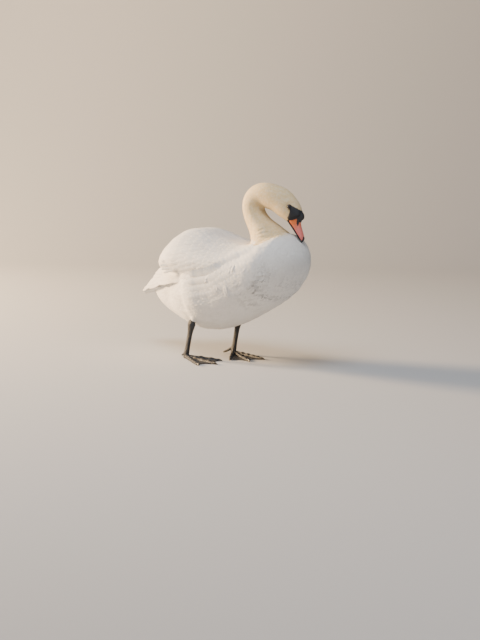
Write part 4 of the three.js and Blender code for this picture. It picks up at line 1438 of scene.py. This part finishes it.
def limb(stations, rings, sides, flat=1.0, ridge=0.0):
    """A limb through stations x, y, z, radius, narrower from side to side, ridged behind."""
    rows = smooth_line(stations, rings)
    places = []
    for (x, y, z, radius), way_on in zip(rows, unit(np.gradient(rows[:, :3], axis=0))):
        across = unit(np.cross((0, 1, 0), way_on))
        beside = np.cross(way_on, across)
        ring = []
        for angle in angles_round(sides):
            reach = radius * (1 + ridge * math.exp(-((math.cos(angle) + 1) ** 2) * 6))
            offset = across * math.cos(angle) * reach + beside * math.sin(angle) * reach * flat
            ring.append(on_bird(*(np.array((x, y, z)) + offset)))
        places.append(ring)
    return tube(places)


def on_toe(leg, spread, reach, height):
    angle = math.radians(leg["heading"] - leg["side"] * spread)
    x, y, _ = leg["foot"]
    return np.array((x + math.cos(angle) * reach, y + math.sin(angle) * reach, height))


def toe_radius(share_out, joints):
    swell = sum(math.exp(-(((share_out - joint) / JOINT_LONG) ** 2)) for joint in joints)
    return TOE_RADIUS * at_station(TOE_SHAPE, share_out)[0] * (1 + JOINT_SWELL * swell)


def toe_stations(leg, toe, count=22):
    length, spread, joints = toe
    stations = []
    for share_out in np.linspace(TOE_START, 1.0, count):
        radius = toe_radius(share_out, joints)
        stations.append((*on_toe(leg, spread, length * share_out, radius * TOE_SINK), radius))
    return stations


def web(leg, toe_a, toe_b):
    """The thin folded skin between two toes, its front edge hollowed between their tips."""
    rings = []
    for t in np.linspace(0, 1, WEB_ROWS):
        upper_row, lower_row = [], []
        for u in np.linspace(0, 1, WEB_ROWS):
            slack = math.sin(math.pi * u)
            front = mix((toe_a[0], toe_b[0]), u) * (1 - WEB_SCALLOP * slack)
            reach = mix((WEB_START, front), t)
            x, y, _ = on_toe(leg, toe_a[1], reach, 0) * (1 - u) + on_toe(leg, toe_b[1], reach, 0) * u
            folds = sum(high * math.sin(across * u + along * t) for high, across, along in WEB_FOLDS)
            z = WEB_HIGH + slack * (folds - WEB_SLACK)
            upper_row.append(on_bird(x, y, z))
            lower_row.append(on_bird(x, y, z - WEB_THICK))
        rings.append(upper_row + lower_row[::-1])
    return tube(rings)


def leg_finish(name, dark, pale, roughness, scale, relief):
    """Scaly skin: small many-sided scales, paler and dustier where they are raised."""
    material, tree, shader, bump = new_finish(name, 0.7, relief)
    place = node(tree, "ShaderNodeTexCoord").outputs["Object"]
    scaled = {"Scale": scale, "Vector": place}
    scales = node(tree, "ShaderNodeTexVoronoi", scaled, feature="DISTANCE_TO_EDGE").outputs["Distance"]
    groove = calculate(tree, "SMOOTH_MIN", calculate(tree, "MULTIPLY", scales, 6.0), 1.0, 0.2)
    dust = calculate(tree, "MULTIPLY", mottle(tree, 70.0, 5.0), calculate(tree, "MULTIPLY", groove, 0.9))
    dusty = blend(tree, calculate(tree, "POWER", dust, 2.2), dark, pale)
    tree.links.new(dusty, shader.inputs["Base Color"])
    tree.links.new(calculate(tree, "MULTIPLY_ADD", dust, 0.25, roughness), shader.inputs["Roughness"])
    tree.links.new(groove, bump.inputs["Height"])
    return material


leg_skin = leg_finish("leg_skin", LEG_GREY, LEG_PALE, 0.42, 420.0, 0.0005)
claw_horn = leg_finish("claw_horn", CLAW_BLACK, LEG_GREY, 0.30, 90.0, 0.0001)
PLATE = {"apart": 3.1, "spread": 58, "long": 0.60, "high": 0.05, "crown": 0.03, "under": 0.86}
PLATE_ROWS, PLATE_COLUMNS = (-0.5, 0.0, 0.5), 5
SOLE = 0.15 * MM  # the least height of a foot's skin over the floor


def plate_form():
    """One horny plate for a limb of radius 1: bent round its front, its lower edge overlapping."""
    corners = []
    for along in PLATE_ROWS:
        for angle in np.radians(np.linspace(-PLATE["spread"], PLATE["spread"], PLATE_COLUMNS)):
            raised = PLATE["high"] * (0.5 + along) + PLATE["crown"] * math.cos(2 * angle)
            for reach in (1 + raised, PLATE["under"]):
                corners.append((along * PLATE["long"], reach * math.sin(angle), reach * math.cos(angle) - 1))
    return shown("plate", solid_of("plate", corners, plate_faces(len(PLATE_ROWS), PLATE_COLUMNS)))


def plate_tree():
    """Sets plates in rows along lines on the skin, sized by the limb's radius there."""
    sockets = {"Lines": "Geometry", "Plate": "Object", "Apart": "Float", "Finish": "Material"}
    tree, given = new_tree("plate_rows", sockets, "Plates")
    curve = node(tree, "GeometryNodeMeshToCurve", {"Mesh": given["Lines"]}).outputs["Curve"]
    along = {"Curve": curve, "Length": given["Apart"]}
    spaced = node(tree, "GeometryNodeCurveToPoints", along, mode="LENGTH")
    plate_of = node(tree, "GeometryNodeObjectInfo", {"Object": given["Plate"]})
    grown = made_real(tree, {
        "Points": spaced.outputs["Points"], "Instance": plate_of.outputs["Geometry"],
        "Rotation": laid_down(tree, "outward", "run"), "Scale": named(tree, "limb_radius"),
    })
    return given_finish(tree, grown, given["Finish"], "Plates")


def plate_lines(lines):
    """A mesh of lines of places, each with its way out of the skin and the limb's radius there."""
    places, edges, outs, runs, radii = [], [], [], [], []
    for line in lines:
        edges += [(i, i + 1) for i in range(len(places), len(places) + len(line) - 1)]
        places += [tuple(on_bird(*place)) for place, _, _ in line]
        outs += [out for _, out, _ in line]
        runs += unit(np.gradient(np.array([place for place, _, _ in line]), axis=0)).tolist()
        radii += [radius * MM for _, _, radius in line]
    mesh = bpy.data.meshes.new("plate_lines")
    mesh.from_pydata(places, edges, [])
    store(mesh, "outward", outs, "FLOAT_VECTOR")
    store(mesh, "run", runs, "FLOAT_VECTOR")
    store(mesh, "limb_radius", radii)
    return mesh


def toe_line(leg, toe):
    """Where the plates lie along the top of a toe."""
    length, spread, joints = toe
    line = []
    for share_out in np.linspace(0.08, 0.97, 40):
        radius = toe_radius(share_out, joints)
        place = on_toe(leg, spread, length * share_out, radius * (1 + TOE_SINK))
        line.append((place, (0, 0, 1), radius))
    return line


def shank_line(ankle, foot):
    """Where the plates lie down the front of a shank."""
    line = []
    for share_down in np.linspace(0.12, 0.94, 30):
        radius = at_station(TARSUS_SHAPE, share_down)[0]
        place = mix((ankle, foot), share_down) + np.array((radius, 0, 0))
        line.append((place, (1, 0, 0.1), radius * 0.9))
    return line


def on_floor(piece):
    """Flattens what would sink below the sole's height."""
    points = read_points(piece.data)
    points[:, 2] = np.maximum(points[:, 2], SOLE)
    write_points(piece.data, points)
    return piece


plate, plate_rows = plate_form(), plate_tree()
for name, leg in LEGS.items():
    knee, ankle, foot = [np.array(place, float) for place in (*THIGHS[name], leg["foot"])]
    stations = []
    for share_down, radius in TARSUS_SHAPE:
        ends = (knee, ankle) if share_down < 0 else (ankle, foot)
        stations.append((*mix(ends, share_down % 1), radius))
    tarsus = solid_of("tarsus", *limb(stations, 60, 28, flat=0.88, ridge=0.10))
    clad(shown("shank_skin_" + name, tarsus), leg_skin, "leg_skin", "tarsus_" + name)

    parts = [limb(toe_stations(leg, toe), 60, 16) for toe in TOES.values()]
    inner, middle, outer = TOES.values()
    parts += [web(leg, inner, middle), web(leg, middle, outer)]
    above, ahead_of = mix((ankle, foot), FOOT_JOINT), foot + np.array((5, 0, -10))
    joint = [(*place, radius) for place, radius in zip((above, foot, ahead_of), JOINT_RADII)]
    parts.append(limb(joint, 14, 20, flat=0.9))
    hind = [(*above, HIND_RADIUS)]
    for behind, inwards, high, radius in HIND_TOE:
        hind.append((foot[0] - behind, foot[1] - leg["side"] * inwards, high, radius))
    parts.append(limb(hind, 24, 14))
    whole_foot = fused("foot_skin_" + name, parts, 1.15 * MM, 3)
    clad(on_floor(whole_foot), leg_skin, "leg_skin", "foot_" + name)

    for toe_name, (length, spread, _) in TOES.items():
        claw_line = [(*on_toe(leg, spread, length + past, high), radius) for past, high, radius in CLAW_SHAPE]
        claw = shown(f"claw_horn_{name}_{toe_name}", solid_of("claw", *limb(claw_line, 18, 14, flat=0.85)))
        clad(on_floor(claw), claw_horn, "claw", f"claw_{name}_{toe_name}")

    lines = [toe_line(leg, toe) for toe in TOES.values()] + [shank_line(ankle, foot)]
    look = {"Plate": plate, "Apart": PLATE["apart"] * MM, "Finish": leg_skin}
    plates = grown_on("leg_plates_" + name, plate_lines(lines), plate_rows, look)
    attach(plates, "root")
bpy.data.objects.remove(plate)

# ---------------------------------------------------------------- floor, light and camera
# A pale studio sweep under a standing bird, a broad warm light low on its rear side, a cool fill.
FLOOR_PALE, SWEEP, SWEEP_BACK, SWEEP_BEND = (0.50, 0.51, 0.52), 9.0, 2.6, 1.5
LAMPS = {
    "warm_low_light": ((-3.8, -1.3, 1.2), 0.9, 760, (1.0, 0.69, 0.39)),
    "high_soft_light": ((0.2, -1.6, 3.4), 2.0, 100, (0.97, 0.97, 1.0)),
    "front_fill": ((3.4, -1.2, 1.4), 2.0, 18, (0.84, 0.91, 1.0)),
}  # place, width across, power and colour
LIT_PLACE, AIR, AIR_STRENGTH = Vector((0, 0, 0.3)), (0.80, 0.86, 0.95), 0.26
CAMERA_AT, CAMERA_WAY = Vector((3.0021, -3.4565, 0.826)), Vector((-0.6428, 0.7660, 0))
CAMERA_DOWN, CAMERA_ROLL = math.radians(8.7), math.radians(1.04)
CAMERA_LENS, FILM = 78.75, 36.0


def studio_sweep():
    """A floor that turns up into a wall in one round bend, far behind the bird."""
    along = unit(np.array(CAMERA_WAY))
    across = np.array((along[1], -along[0], 0))
    profile = [(-SWEEP, 0.0)]
    for angle in np.linspace(0, math.pi / 2, 24):
        profile.append((SWEEP_BACK + SWEEP_BEND * math.sin(angle), SWEEP_BEND * (1 - math.cos(angle))))
    profile.append((SWEEP_BACK + SWEEP_BEND, SWEEP))
    corners = []
    for back, high in profile:
        corners += [tuple(along * back + across * aside + (0, 0, high)) for aside in (-SWEEP, SWEEP)]
    faces = [(i, i + 1, i + 3, i + 2) for i in range(0, len(corners) - 2, 2)]
    mesh = bpy.data.meshes.new("floor")
    mesh.from_pydata(corners, [], faces)
    mesh.polygons.foreach_set("use_smooth", [True] * len(faces))
    return shown("floor", mesh)


floor = studio_sweep()
paper = bpy.data.materials.new("floor_paper")
paper.use_nodes = True
paper_shader = paper.node_tree.nodes["Principled BSDF"]
paper_shader.inputs["Base Color"].default_value = (*FLOOR_PALE, 1)
paper_shader.inputs["Roughness"].default_value = 0.9
floor.data.materials.append(paper)

for name, (at, size, power, colour) in LAMPS.items():
    light = bpy.data.lights.new(name, "AREA")
    light.shape = "DISK"
    light.size = size
    light.energy = power
    light.color = colour
    holder = bpy.data.objects.new(name, light)
    bpy.context.scene.collection.objects.link(holder)
    holder.location = at
    holder.rotation_euler = (LIT_PLACE - Vector(at)).to_track_quat("-Z", "Y").to_euler()

world = bpy.data.worlds.new("studio_air")
world.use_nodes = True
world.node_tree.nodes["Background"].inputs["Color"].default_value = (*AIR, 1)
world.node_tree.nodes["Background"].inputs["Strength"].default_value = AIR_STRENGTH
bpy.context.scene.world = world

lens = bpy.data.cameras.new("camera")
lens.lens = CAMERA_LENS
lens.sensor_width = FILM
camera = bpy.data.objects.new("camera", lens)
bpy.context.scene.collection.objects.link(camera)
looking = CAMERA_WAY.normalized() * math.cos(CAMERA_DOWN) - Vector((0, 0, math.sin(CAMERA_DOWN)))
turned = looking.to_track_quat("-Z", "Y").to_matrix().to_4x4() @ Matrix.Rotation(CAMERA_ROLL, 4, "Z")
camera.matrix_world = Matrix.Translation(CAMERA_AT) @ turned
bpy.context.scene.camera = camera

bpy.context.view_layer.update()
